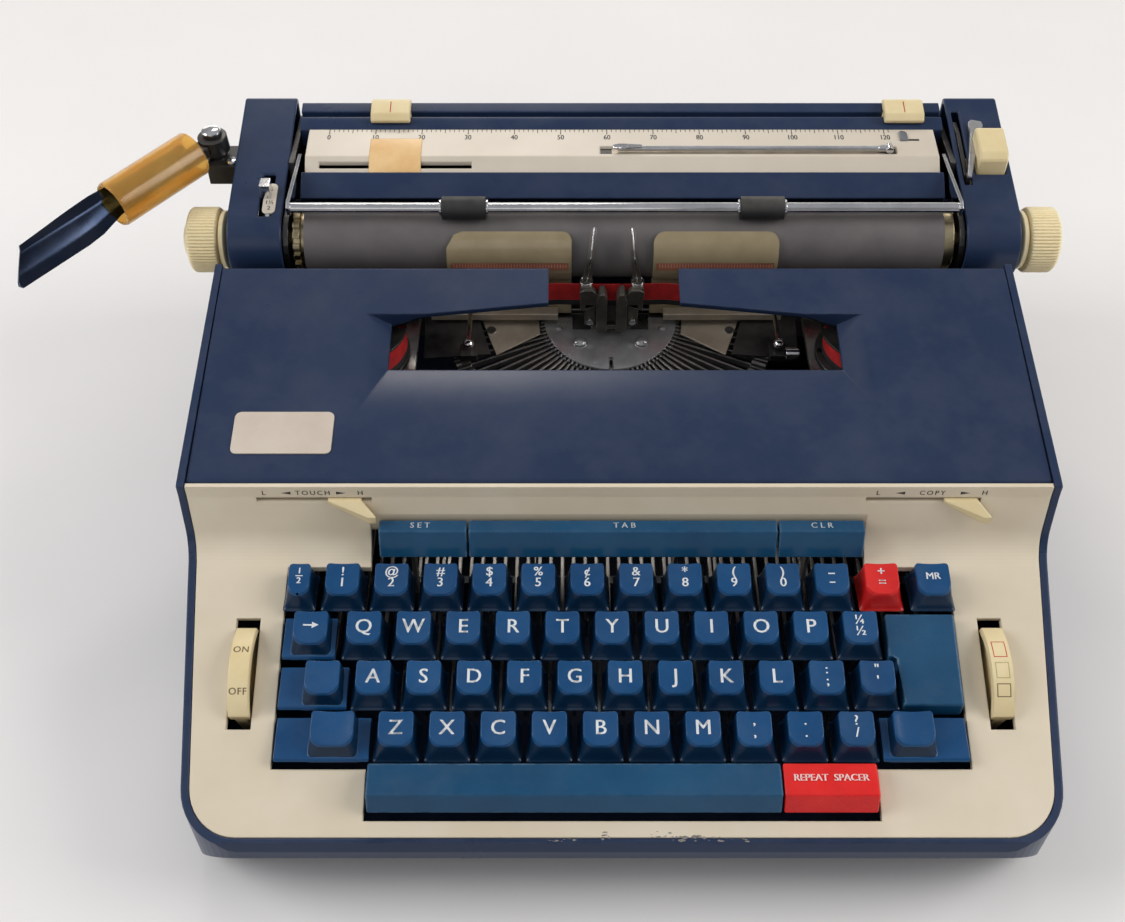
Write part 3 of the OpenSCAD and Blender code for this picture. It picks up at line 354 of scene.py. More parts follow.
for finish, names in NODE_FINISH.items():
    for name in names:
        NODES[name].data.materials.clear()
        NODES[name].data.materials.append(finish)


SOFT_NODES = {"ribbon_cover": 0.7, "end_covers": 0.7, "scale_panel": 0.5, "paper_table": 0.5,
              "margin_rail": 0.4, "power_rocker": 0.5, "ribbon_selector": 0.5, "lever_bracket": 1.2,
              "touch_lever": 0.4, "copy_lever": 0.4}


def soften(node, width):
    """Round the edges of a CAD node with modifiers; its own mesh stays as it is."""
    obj = NODES[node]
    weld = obj.modifiers.new("weld", "WELD")
    weld.merge_threshold = 0.002 * MM
    flats = obj.modifiers.new("flats", "DECIMATE")
    flats.decimate_type = "DISSOLVE"
    flats.angle_limit = math.radians(0.5)
    bevel = obj.modifiers.new("edges", "BEVEL")
    bevel.width = width * MM
    bevel.segments = 2
    bevel.limit_method = "ANGLE"
    bevel.angle_limit = math.radians(30)
    obj.modifiers.new("normals", "WEIGHTED_NORMAL").keep_sharp = False


# Building blocks of the new pieces


def on_axis(axis, a, b, along):
    """Point with a and b across an axis, in the order of the other two, and along it."""
    return {"X": (along, a, b), "Y": (a, along, b), "Z": (a, b, along)}[axis]


def moved(outline, dy, dz):
    """The same outline in another place."""
    return [(y + dy, z + dz) for y, z in outline]


def mirrored(outline):
    """The same outline on the other side of the middle, in the same turning sense."""
    return [(-x, y) for x, y in reversed(outline)]


def rounded(x0, y0, x1, y1, r, steps=5):
    """Outline of a rectangle with rounded corners."""
    corners = [(x1 - r, y1 - r, 0), (x0 + r, y1 - r, 90), (x0 + r, y0 + r, 180),
               (x1 - r, y0 + r, 270)]
    return [(cx + r * math.cos(math.radians(start + 90 * k / steps)),
             cy + r * math.sin(math.radians(start + 90 * k / steps)))
            for cx, cy, start in corners for k in range(steps + 1)]


def leaning(origin, slope):
    """Matrix of a plane through a point, leaning back by an angle about X."""
    return Matrix.Translation(origin) @ Matrix.Rotation(slope, 4, "X")


def on_plane(origin, slope):
    """Surface function of a leaning plane."""
    at = leaning(origin, slope)
    return lambda u, v: at @ Vector((u, v, 0.0))


def deck(y):
    """Height of the keyboard panel's slope at a place from front to rear."""
    return NECK_Z + (y - NECK_Y) * DECK_SLOPE


def straight_solid(axis, outline, start, end):
    """Mesh that runs an outline along an axis, with both ends closed."""
    part = bmesh.new()
    ends = [[part.verts.new(on_axis(axis, a, b, c)) for a, b in outline] for c in (start, end)]
    count = len(outline)
    for loop in ends:
        part.faces.new(loop)
    for i in range(count):
        j = (i + 1) % count
        part.faces.new((ends[0][i], ends[0][j], ends[1][j], ends[1][i]))
    return part


class Shape:
    """Solids in millimetres gathered in one mesh; each face keeps its material's number."""

    def __init__(self):
        self.bm = bmesh.new()

    def merge(self, part, material, at=None):
        if at is not None:
            part.transform(at)
        bmesh.ops.recalc_face_normals(part, faces=part.faces[:])
        for face in part.faces:
            face.material_index = material
        mesh = bpy.data.meshes.new("part")
        part.to_mesh(mesh)
        part.free()
        self.bm.from_mesh(mesh)
        bpy.data.meshes.remove(mesh)

    def prism(self, axis, outline, start, end, bevel=0.0, material=0, at=None, segments=2):
        """Solid that runs an outline along an axis, with rounded edges."""
        part = straight_solid(axis, outline, start, end)
        if bevel:
            bmesh.ops.bevel(part, geom=part.edges[:], offset=bevel, segments=segments,
                            affect="EDGES", profile=0.5, clamp_overlap=True)
        self.merge(part, material, at)

    def box(self, low, high, bevel=0.0, material=0, at=None):
        outline = [(low[0], low[1]), (high[0], low[1]), (high[0], high[1]), (low[0], high[1])]
        self.prism("Z", outline, low[2], high[2], bevel, material, at)

    def rings(self, rings, material=0, at=None, closed=False):
        """Skin through rings of points; the open ends are capped."""
        part = bmesh.new()
        loops = [[part.verts.new(p) for p in ring] for ring in rings]
        count = len(loops[0])
        pairs = list(zip(loops, loops[1:])) + ([(loops[-1], loops[0])] if closed else [])
        for low, high in pairs:
            for i in range(count):
                j = (i + 1) % count
                part.faces.new((low[i], low[j], high[j], high[i]))
        if not closed:
            part.faces.new(loops[0])
            part.faces.new(loops[-1])
        self.merge(part, material, at)

    def turned(self, axis, centre, profile, material=0, count=40, at=None, closed=False):
        """Round solid: profile is pairs of radius and place along the axis."""
        made = []
        for radius, along in profile:
            turn = [2 * math.pi * i / count for i in range(count)]
            made.append([on_axis(axis, centre[0] + radius * math.cos(t),
                                 centre[1] + radius * math.sin(t), along) for t in turn])
        self.rings(made, material, at, closed)

    def pipe(self, axis, centre, inner, outer, start, end, material=0, count=32):
        self.turned(axis, centre, [(inner, start), (outer, start), (outer, end), (inner, end)],
                    material, count, None, True)


def piece(name, shape, materials, body, replaces=(), sharp=40):
    """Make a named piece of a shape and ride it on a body."""
    mesh = bpy.data.meshes.new(name)
    shape.bm.transform(Matrix.Scale(MM, 4))
    shape.bm.to_mesh(mesh)
    shape.bm.free()
    for material in materials:
        mesh.materials.append(material)
    mesh.shade_smooth()
    mesh.set_sharp_from_angle(angle=math.radians(sharp))
    obj = bpy.data.objects.new(name, mesh)
    bpy.context.scene.collection.objects.link(obj)
    obj.modifiers.new("normals", "WEIGHTED_NORMAL").keep_sharp = True
    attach(obj, body)
    if replaces:
        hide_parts(*replaces)
    return obj


# Printed letters and marks

CAP_HEIGHT_SHARE = 0.72


def letters(text, height, spacing=1.0, bold=0.0):
    """Flat mesh of a printed text, centred, in millimetres; bold repeats it to each side."""
    curve = bpy.data.curves.new("print", "FONT")
    curve.body = text
    curve.size = height / CAP_HEIGHT_SHARE
    curve.align_x = "CENTER"
    curve.align_y = "CENTER"
    curve.space_character = spacing
    curve.resolution_u = 3
    obj = bpy.data.objects.new("print", curve)
    bpy.context.scene.collection.objects.link(obj)
    bpy.context.view_layer.update()
    ready = obj.evaluated_get(bpy.context.evaluated_depsgraph_get())
    mesh = bpy.data.meshes.new_from_object(ready)
    bpy.data.objects.remove(obj)
    bpy.data.curves.remove(curve)
    if not bold:
        return mesh
    part = bmesh.new()
    for shift in (-bold, bold):
        mesh.transform(Matrix.Translation((shift, 0, 0)))
        part.from_mesh(mesh)
        mesh.transform(Matrix.Translation((-shift, 0, 0)))
    part.to_mesh(mesh)
    part.free()
    return mesh


def stamp(shape, mesh, to_surface, shift=(0.0, 0.0), cuts=0.0):
    """Lay a flat mesh on a surface given as a function of two lengths across it.

    Cuts is the width of the strips that let the mesh follow a hollow.
    """
    part = bmesh.new()
    part.from_mesh(mesh)
    bpy.data.meshes.remove(mesh)
    part.transform(Matrix.Translation((shift[0], shift[1], 0)))
    if cuts:
        reach = max(abs(v.co.x) for v in part.verts)
        steps = int(reach / cuts)
        for k in range(-steps, steps + 1):
            bmesh.ops.bisect_plane(part, geom=part.verts[:] + part.edges[:] + part.faces[:],
                                   plane_co=(k * cuts, 0, 0), plane_no=(1, 0, 0))
    for vert in part.verts:
        vert.co = to_surface(vert.co.x, vert.co.y)
    bmesh.ops.triangulate(part, faces=part.faces[:])
    made = bpy.data.meshes.new("part")
    part.to_mesh(made)
    part.free()
    shape.bm.from_mesh(made)
    bpy.data.meshes.remove(made)


def flat_marks(polygons):
    """Flat mesh of polygons, for bars and arrows that no letter gives."""
    part = bmesh.new()
    for points in polygons:
        part.faces.new([part.verts.new((x, y, 0)) for x, y in points])
    mesh = bpy.data.meshes.new("marks")
    part.to_mesh(mesh)
    part.free()
    return mesh


def bar_mark(x, y, width, height):
    """Corner points of an upright rectangle about its middle."""
    w, h = width / 2, height / 2
    return [(x - w, y - h), (x + w, y - h), (x + w, y + h), (x - w, y + h)]


# Keys

CAP_SIDE = [0.0, 0.05, 0.14, 0.3, 0.5, 0.72, 0.9]
CAP_RIM = [(0.0, 0.5), (0.06, 0.28), (0.2, 0.1), (0.45, 0.0)]
CAP_DISH = [0.84, 0.62, 0.38, 0.15]
CAP_TAPER, CAP_TOP = 1.5, 6.5
LEGEND_LIFT, LEGEND_CUT = 0.04, 0.8


def dish(u):
    """Depth of the hollow across the top of a cap."""
    return DISH_R - DISH_DEPTH - math.sqrt(DISH_R ** 2 - min(abs(u), 10.0) ** 2)


def cap_outline(half, rear, front, rear_r, front_r):
    """Plan outline of a cap with its own corner radii at the rear and the front."""
    corners = [(half - rear_r, rear - rear_r, rear_r, 0),
               (-half + rear_r, rear - rear_r, rear_r, 90),
               (-half + front_r, front + front_r, front_r, 180),
               (half - front_r, front + front_r, front_r, 270)]
    points = []
    for index, (cx, cy, r, start) in enumerate(corners):
        turn = [math.radians(start + 15 * k) for k in range(7)]
        arc = [(cx + r * math.cos(t), cy + r * math.sin(t)) for t in turn]
        nx, ny, nr, nstart = corners[(index + 1) % 4]
        t = math.radians(nstart)
        to = (nx + nr * math.cos(t), ny + nr * math.sin(t))
        points += arc + [(arc[-1][0] + (to[0] - arc[-1][0]) * k / 5,
                          arc[-1][1] + (to[1] - arc[-1][1]) * k / 5) for k in range(1, 5)]
    return points


def key_cap(shape, x, row, width=KEY_W, material=0):
    """Cap with flared sides, a rounded front and a hollow top; its sides take the next material, a
    darker copy of the cap's colour that paints shade on them.
    """
    y, z = ROW_Y[row], ROW_Z[row]
    half, slope = width / 2, math.tan(TOP_TILT)
    made = []
    for t in CAP_SIDE:
        eased = t ** 0.55
        ring = cap_outline(half + CAP_FLARE - (CAP_FLARE + CAP_TAPER) * eased,
                           CAP_REAR - (CAP_REAR - CAP_TOP) * eased,
                           CAP_FRONT + (-CAP_TOP - CAP_FRONT) * eased, 1.0 + 0.4 * t, 1.2 + 3.2 * t)
        made.append([(x + a, y + b, z - CAP_H * (1 - t) + t * (b * slope + dish(a) - 0.5))
                     for a, b in ring])
    for inset, drop in CAP_RIM:
        ring = cap_outline(half - CAP_TAPER - inset, CAP_TOP - inset, inset - CAP_TOP,
                           1.5 - inset, 4.6 - inset)
        made.append([(x + a, y + b, z + b * slope + dish(a) - drop) for a, b in ring])
    for share in CAP_DISH:
        made.append([(x + a * share, y + b * share, z + b * share * slope + dish(a * share))
                     for a, b in ring])
    sides = len(CAP_SIDE)
    # The sides get the darker copy of the cap's colour, which is painted shade.
    shape.rings(made[:sides], material + 1)
    shape.rings(made[sides - 1:], material)


def on_cap(x, row):
    """Surface function of the hollow top of a key."""
    def place(u, v):
        return Vector((x + u, ROW_Y[row] + v * math.cos(TOP_TILT),
                       ROW_Z[row] + v * math.sin(TOP_TILT) + dish(u) + LEGEND_LIFT))
    return place


LETTER_H, SMALL_H, BOLD = 5.9, 3.9, 0.09


def letter(shape, x, row, text, height=LETTER_H, at=(0.0, 0.1)):
    stamp(shape, letters(text, height, 1.0, BOLD), on_cap(x, row), at, LEGEND_CUT)


def pair(shape, x, row, upper, lower):
    """Two characters, one over the other."""
    letter(shape, x, row, upper, SMALL_H, (0.0, 3.0))
    letter(shape, x, row, lower, SMALL_H, (0.0, -1.7))


def key_marks(shape, x, row, polygons, shift=0.0):
    """Bars or an arrow on top of a key."""
    stamp(shape, flat_marks(polygons), on_cap(x, row), (shift, 0.0), LEGEND_CUT)


STRIP_HALF = 0.75


def lever(shape, x, y, top, edge=3.0):
    """Steel strip from the fulcrum shaft to the stem under a key."""
    x0, x1, foot = x - STRIP_HALF, x + STRIP_HALF, FULCRUM_Z - 3
    shape.box((x0, y - 2.5, foot), (x1, y + 2.5, top))
    shape.box((x0, y, foot), (x1, FULCRUM_Y - 4, FULCRUM_Z + edge))
    shape.pipe("X", (FULCRUM_Y, FULCRUM_Z), 2.55, 5.5, x0, x1)


def plinth(shape, x0, x1, row):
    """Low foot beside a cap."""
    y, z = ROW_Y[row], ROW_Z[row] - CAP_H
    outline = [(y + CAP_FRONT, z), (y + CAP_REAR, z), (y + 7.2, z + 4.4), (y - 8.6, z + 1.6)]
    shape.prism("X", outline, x0, x1, 0.5)


def finish_row(name, caps, print_, finishes=(BLUE_KEY, BLUE_SIDE_PAINTED_SHADE)):
    """Hand over the caps and the legends of a row."""
    piece(name + "_key_caps", caps, finishes, name + "_row", [name + "_keys"])
    piece(name + "_key_legends", print_, [LEGEND_WHITE], name + "_row")


HALF_KEY_X, HALF_KEY_W = -124.6, 11.4
PLUS_KEY_X, MARGIN_KEY_X = 102.3, 122.3
ARROW_KEY_X = UPPER_X[0] - 20.4
LOCK_KEY_X = HOME_X[0] - 19.2
ARROW = [bar_mark(-0.8, 0.8, 3.8, 0.65), [(0.7, -0.5), (3.3, 0.8), (0.7, 2.1)]]


def number_row():
    caps, print_ = Shape(), Shape()
    key_cap(caps, HALF_KEY_X, 0, HALF_KEY_W)
    for x in NUMBER_X:
        key_cap(caps, x, 0)
    key_cap(caps, PLUS_KEY_X, 0, KEY_W, 2)
    key_cap(caps, MARGIN_KEY_X, 0)
    for x, upper, lower in zip(NUMBER_X, "!@#$%¢&*()", "1234567890"):
        pair(print_, x, 0, upper, lower)
    key_marks(print_, NUMBER_X[10], 0, [bar_mark(0, 2.2, 2.6, 0.5), bar_mark(0, -1.6, 2.2, 0.5)])
    letter(print_, HALF_KEY_X, 0, "1", 2.6, (0.0, 3.3))
    letter(print_, HALF_KEY_X, 0, "2", 2.6, (0.0, -0.9))
    key_marks(print_, HALF_KEY_X, 0, [bar_mark(0, 1.2, 2.8, 0.4)])
    pair(print_, PLUS_KEY_X, 0, "+", "=")
    letter(print_, MARGIN_KEY_X, 0, "MR", 3.0, (0.0, 1.0))
    finish_row("number", caps, print_, (BLUE_KEY, BLUE_SIDE_PAINTED_SHADE, RED_KEY, RED_SIDE_PAINTED_SHADE))


def upper_row():
    caps, print_ = Shape(), Shape()
    plinth(caps, -EDGE_X, ARROW_KEY_X + KEY_W / 2 + 1.4, 1)
    for x in [ARROW_KEY_X] + UPPER_X:
        key_cap(caps, x, 1)
    key_marks(print_, ARROW_KEY_X, 1, ARROW, -0.2)
    for x, text in zip(UPPER_X, "QWERTYUIOP"):
        letter(print_, x, 1, text)
    pair(print_, UPPER_X[10], 1, "¼", "½")
    finish_row("upper", caps, print_)


def home_row():
    caps, print_ = Shape(), Shape()
    plinth(caps, -EDGE_X, LOCK_KEY_X + KEY_W / 2 + 1.2, 2)
    for x in [LOCK_KEY_X] + HOME_X:
        key_cap(caps, x, 2)
    for x, text in zip(HOME_X, "ASDFGHJKL"):
        letter(print_, x, 2, text)
    pair(print_, HOME_X[9], 2, ":", ";")
    pair(print_, HOME_X[10], 2, '"', "'")
    finish_row("home", caps, print_)


def lower_row():
    caps, print_ = Shape(), Shape()
    for x in LOWER_X:
        key_cap(caps, x, 3)
    for x, text in zip(LOWER_X, "ZXCVBNM"):
        letter(print_, x, 3, text)
    for x, upper, lower in zip(LOWER_X[7:], ",.?", ",./"):
        pair(print_, x, 3, upper, lower)
    finish_row("lower", caps, print_)


SHIFT_LEVER_X = (-103.0, 109.0)
SHIFT_ROD_Y, SHIFT_ROD_Z, SHIFT_ROD_R = -20, 35, 2


def shift_keys():
    """Both shift keys, with the levers and the rod that join them below."""
    caps, steel = Shape(), Shape()
    plinth(caps, -EDGE_X, LOWER_X[0] - KEY_W / 2 - 2, 3)
    key_cap(caps, LOWER_X[0] - 23.6, 3, 19.0)
    plinth(caps, LOWER_X[9] + KEY_W / 2 + 1.8, EDGE_X, 3)
    key_cap(caps, LOWER_X[9] + 21.2, 3, 18.0)
    piece("shift_key_caps", caps, [BLUE_KEY, BLUE_SIDE_PAINTED_SHADE], "shift", ["shift_keys"])
    for x in SHIFT_LEVER_X:
        lever(steel, x, ROW_Y[3], ROW_Z[3] - CAP_H + 0.4, LOW_EDGE)
        steel.box((x - STRIP_HALF, SHIFT_ROD_Y - 3, SHIFT_ROD_Z - 3),
                  (x + STRIP_HALF, SHIFT_ROD_Y + 3, FULCRUM_Z))
    ends = [(SHIFT_ROD_R, SHIFT_LEVER_X[0] - 0.5), (SHIFT_ROD_R, SHIFT_LEVER_X[1] + 0.5)]
    steel.turned("X", (SHIFT_ROD_Y, SHIFT_ROD_Z), ends, 0, 24)
    piece("shift_levers", steel, [STEEL], "shift")


def return_key():
    """Flat key in the shape of a corner, with its lever."""
    cap, steel = Shape(), Shape()
    x0 = UPPER_X[10] + KEY_W / 2 + 2.4
    x1 = HOME_X[10] + KEY_W / 2 + 1.6
    middle = (ROW_Y[1] + ROW_Y[2]) / 2
    rear, front = ROW_Y[1] + 7.2, ROW_Y[2] - 8.6
    outline = [(x0, rear), (x0, middle), (x1, middle), (x1, front), (EDGE_X, front), (EDGE_X, rear)]
    lean = Matrix(((1, 0, 0, 0), (0, 1, 0, 0), (0, DECK_SLOPE, 1, deck(0)), (0, 0, 0, 1)))
    cap.prism("Z", outline, -2.2, 5.4, 0.9, 0, lean, 3)
    piece("return_key_cap", cap, [BLUE_BAR], "return", ["return_key"])
    lever(steel, 116.6, ROW_Y[2] + 6, deck(ROW_Y[2] + 3.5) - 1.5)
    piece("return_key_lever", steel, [STEEL], "return")


FRONT_BAR = [(-10.9, -16.0), (-11.2, -6.5), (-17.8, -7.5), (-23.6, -8.0), (-26.8, -16.0)]
FRONT_BAR_SLOPE = math.atan2(1.4, 11.6)
REPEAT_MIDDLE = 76.65
REAR_BAR = [(2.6, 1.3), (2.6, 12.6), (-3.0, 12.3), (-7.6, 1.3)]
REAR_BAR_RISE = 0.054
BAR_PRINT_LIFT = 0.06


def front_bars():
    """Space bar and repeat key before the lower row."""
    outline = moved(FRONT_BAR, ROW_Y[3], ROW_Z[3])
    for name, body, node, x0, x1, stems, finish, slot in (
            ("space_bar_cap", "space", "space_bar", -94.0, 58.5, (-72.0, 42.3), BLUE_BAR, "blue_key"),
            ("repeat_key_cap", "repeat", "repeat_key", 59.3, 94.0, (80.4,), RED_KEY, "red_key")):
        cap, steel = Shape(), Shape()
        cap.prism("X", outline, x0, x1, 0.7, 0, None, 3)
        piece(name, cap, [finish], body, [node])
        for x in stems:
            lever(steel, x, ROW_Y[3] - 18, ROW_Z[3] - 15.5, LOW_EDGE)
        piece(name.replace("cap", "lever"), steel, [STEEL], body)
    print_ = Shape()
    top = on_plane((REPEAT_MIDDLE, ROW_Y[3] - 17.8, ROW_Z[3] - 7.24 + BAR_PRINT_LIFT), FRONT_BAR_SLOPE)
    stamp(print_, letters("REPEAT  SPACER", 2.7, 1.0, 0.12), top, (0, 0.8))
    piece("repeat_key_legend", print_, [LEGEND_PINK], "repeat")


def rear_bars():
    """Tab bar with the set and clear keys at the foot of the rise."""
    outline = moved(REAR_BAR, NECK_Y, NECK_Z)
    tab, tab_set, tab_steel, set_steel = Shape(), Shape(), Shape(), Shape()
    tab.prism("X", outline, -58.9, 62.4, 0.6, 0, None, 3)
    tab_set.prism("X", outline, -94.2, -59.7, 0.6, 0, None, 3)
    tab_set.prism("X", outline, 63.2, 96.8, 0.6, 0, None, 3)
    for steel, stems in ((tab_steel, (-33.9, 23.2)), (set_steel, (-81.6, 75.6))):
        for x in stems:
            lever(steel, x, NECK_Y - 2.5, NECK_Z + 2)
    piece("tab_bar_cap", tab, [BLUE_BAR], "tab", ["tab_bar"])
    piece("tab_set_caps", tab_set, [BLUE_BAR], "tab_set", ["tab_set_keys"])
    piece("tab_bar_levers", tab_steel, [STEEL], "tab")
    piece("tab_set_levers", set_steel, [STEEL], "tab_set")

    def on_top(x):
        return lambda u, v: Vector((x + u, NECK_Y - 0.2 + v,
                                    NECK_Z + 12.5 + v * REAR_BAR_RISE + BAR_PRINT_LIFT))
    tab_print, set_print = Shape(), Shape()
    for shape, text, x in ((tab_print, "TAB", 2.4), (set_print, "SET", -78.0),
                           (set_print, "CLR", 80.0)):
        stamp(shape, letters(text, 2.6, 1.6, 0.05), on_top(x))
    piece("tab_bar_legend", tab_print, [LEGEND_WHITE], "tab")
    piece("tab_set_legends", set_print, [LEGEND_WHITE], "tab_set")


number_row()
upper_row()
home_row()
lower_row()
shift_keys()
return_key()
front_bars()
rear_bars()

# Printed scale, plates and marks

PRINT_LIFT = 0.05
SCALE_ZERO, SCALE_STEP, SCALE_COUNT = -128.7, 2.117, 122
SCALE_CREASE = (PLATEN_Y + 29.3, PLATEN_Z + 24.1)
SCALE_RIDGE = (PLATEN_Y + 46.6, PLATEN_Z + 25.6)
SCALE_FRONT = (PLATEN_Y + 22.4, PLATEN_Z + 19.2)
SCALE_REAR = PLATEN_Y + 47.8
SCALE_SLOPE = (SCALE_RIDGE[1] - SCALE_CREASE[1]) / (SCALE_RIDGE[0] - SCALE_CREASE[0])
NUMERAL_H, NUMERAL_STRETCH, NUMERAL_Y = 2.3, 1.4, 131.1
TAPE_X, TAPE_REAR, TAPE_LOW, TAPE_HIGH = (-109.4, -85.9), 130.2, 0.02, 0.16
POINTER_Y = 128.6
POINTER = [(131.9, 0.0), (135.6, 0.0), (135.6, 4.8), (134.6, 6.2), (133.0, 6.6), (131.9, 5.4)]


def scale_height(y):
    """Height of the top of the scale panel."""
    return SCALE_CREASE[1] + (min(y, SCALE_RIDGE[0]) - SCALE_CREASE[0]) * SCALE_SLOPE


def on_scale(u, v):
    return Vector((u, v, scale_height(v) + PRINT_LIFT))


def tick_size(n):
    """Length and width of one mark of the scale."""
    return (3.6, 0.36) if n % 10 == 0 else (2.7, 0.32) if n % 5 == 0 else (2.0, 0.28)


def scale_marks():
    """Graduation along the rear edge, its numbers, a dark bar of painted shade for a slot, and the
    strip of old tape.
    """
    print_, tape, tab = Shape(), Shape(), Shape()
    ticks = []
    for n in range(SCALE_COUNT):
        length, width = tick_size(n)
        for low, high in ((SCALE_REAR - length, SCALE_RIDGE[0]), (SCALE_RIDGE[0], SCALE_REAR)):
            ticks.append(bar_mark(SCALE_ZERO + SCALE_STEP * n, (low + high) / 2, width, high - low))
    stamp(print_, flat_marks(ticks), on_scale)
    for n in range(0, SCALE_COUNT, 10):
        number = letters(str(n), NUMERAL_H, 1.0, 0.05)
        number.transform(Matrix.Diagonal((1.0, NUMERAL_STRETCH, 1.0, 1.0)))
        stamp(print_, number, on_scale, (SCALE_ZERO + SCALE_STEP * n, NUMERAL_Y))
    # Dark bar beside the pointer: painted shade standing in for a slot in the panel.
    stamp(print_, flat_marks([bar_mark(138.1, 129.4, 5.2, 1.2)]), on_scale)
    piece("scale_print_and_slot_shade", print_, [PRINT_BLACK], "carriage")

    path = [(TAPE_REAR, scale_height(TAPE_REAR)), SCALE_CREASE,
            (SCALE_FRONT[0] + 0.15, SCALE_FRONT[1] + 0.1)]
    outline = [(y - lift * 0.5, z + lift * 0.86)
               for lift, points in ((TAPE_HIGH, path), (TAPE_LOW, path[::-1])) for y, z in points]
    tape.prism("X", outline, *TAPE_X)
    piece("scale_tape", tape, [AGED_TAPE], "carriage")

    tab.prism("Z", POINTER, 0, 0.7, 0.2, 0,
              leaning((0, POINTER_Y, scale_height(POINTER_Y)), math.atan(SCALE_SLOPE)))
    piece("scale_pointer", tab, [PLATE_METAL], "carriage")


STOP_SECTION = [(50.4, 27.0), (52.0, 28.0), (63.0, 30.1), (63.0, 31.8), (60.0, 33.2), (52.0, 31.6),
                (49.6, 29.0)]
STOP_HALF = 9


def margin_stops():
    """Cream stops on the rail, each with a red line down its middle."""
    y, z = PLATEN_Y, PLATEN_Z
    for side, x in (("left", CARRIAGE_X - SIDE_X + 42), ("right", CARRIAGE_X + SIDE_X - 18)):
        stop, line = Shape(), Shape()
        x0, x1, body = x - STOP_HALF, x + STOP_HALF, side + "_stop"
        stop.prism("X", moved(STOP_SECTION, y, z), x0, x1, 0.6, 0, None, 3)
        stop.box((x0, y + 55.4, z + 23.4), (x1, y + 57.6, z + 30), 0.2)
        piece(body + "_block", stop, [CREAM_PLASTIC], body, [side + "_margin_stop"])
        face = leaning((x, y + 52.6, z + 31.72), math.atan2(1.6, 8.0))
        line.box((-0.22, 0, -0.2), (0.22, 6.6, 0.06), 0.0, 0, face)
        piece(body + "_line", line, [PRINT_RED], body)


STRIP_FOOT, STRIP_TOP = (-51.8, 98.5), (-51.2, 103.6)


def on_strip(u, v):
    """Narrow strip over the rise: v runs up it from its foot."""
    share = v / (STRIP_TOP[1] - STRIP_FOOT[1])
    return Vector((u, STRIP_FOOT[0] + (STRIP_TOP[0] - STRIP_FOOT[0]) * share - PRINT_LIFT,
                   STRIP_FOOT[1] + v))


def strip_labels():
    """Words over the two slide levers, each between its arrows and its low and high ends."""
    print_ = Shape()
    middle = 2.1
    for word, word_x, low_x, left_x, right_x, high_x in (
            ("TOUCH", -119.2, -138.3, -129.7, -108.2, -100.7),
            ("COPY", 121.9, 100.8, 109.4, 134.8, 142.3)):
        stamp(print_, letters(word, 2.3, 1.35, 0.04), on_strip, (word_x, middle))
        for text, x in (("L", low_x), ("H", high_x)):
            stamp(print_, letters(text, 2.3, 1.0, 0.04), on_strip, (x, middle))
        for tail, tip in ((left_x + 1.9, left_x - 1.9), (right_x - 1.9, right_x + 1.9)):
            arrow = [(tail, middle - 0.75), (tip, middle), (tail, middle + 0.75)]
            stamp(print_, flat_marks([arrow]), on_strip)
    piece("strip_labels", print_, [PRINT_BLACK], "body")


def name_plate():
    """Bare plate with rounded corners on the left of the cover."""
    plate = Shape()
    at = leaning((0, COVER_HINGE[0], COVER_HINGE[1]), COVER_SLOPE)
    outline = rounded(-153.2, 11.2, -113.4, 31.2, 2.4)
    plate.prism("Z", outline, COVER_T - 0.3, COVER_T + 0.5, 0.2, 0, at)
    piece("bare_name_plate", plate, [NAME_PLATE], "cover")


END_SLOPE = math.atan2(13.5, 69.24)
END_FOOT = (PLATEN_Y - 3.24, PLATEN_Z + 16.69)


def line_space_plate():
    """Plate beside the line-space lever, with its four settings."""
    plate, print_ = Shape(), Shape()
    x0, x1, y0, y1 = -154.4, -148.6, 0.2, 17.6
    at = leaning((0, END_FOOT[0], END_FOOT[1]), END_SLOPE)
    plate.prism("Z", rounded(x0, y0, x1, y1, 2.2), -0.2, 0.35, 0.12, 0, at)
    piece("line_space_plate", plate, [SCALE_CREAM], "carriage")

    def on_plate(u, v):
        return at @ Vector((u, v, 0.35 + PRINT_LIFT))
    for text, v in (("R", 14.4), ("1", 9.6), ("1½", 6.5), ("2", 3.2)):
        stamp(print_, letters(text, 2.2, 1.0, 0.05), on_plate, ((x0 + x1) / 2, v))
    piece("line_space_print", print_, [PRINT_BLACK], "carriage")


ROCKER_X, ROCKER_Y, ROCKER_R, ROCKER_DROP = 144.5, -108.0, 27.0, 18.7


def on_rocker(side):
    """Round face of a rocker: v runs back round its drum."""
    at = leaning((side * ROCKER_X, ROCKER_Y, deck(ROCKER_Y)), math.atan(DECK_SLOPE))

    def place(u, v):
        r, t = ROCKER_R + PRINT_LIFT, v / ROCKER_R
        return at @ Vector((u, r * math.sin(t), r * math.cos(t) - ROCKER_DROP))
    return place


def square_mark(v0, v1, half=2.6, line=0.32):
    """Four bars round a square, cut short so that they follow the drum."""
    steps = 6
    cuts = [v0 + (v1 - v0) * k / steps for k in range(steps + 1)]
    bars = [bar_mark(0, v, 2 * half, line) for v in (v0, v1)]
    for x in (-half + line / 2, half - line / 2):
        bars += [bar_mark(x, (a + b) / 2, line, b - a) for a, b in zip(cuts, cuts[1:])]
    return flat_marks(bars)


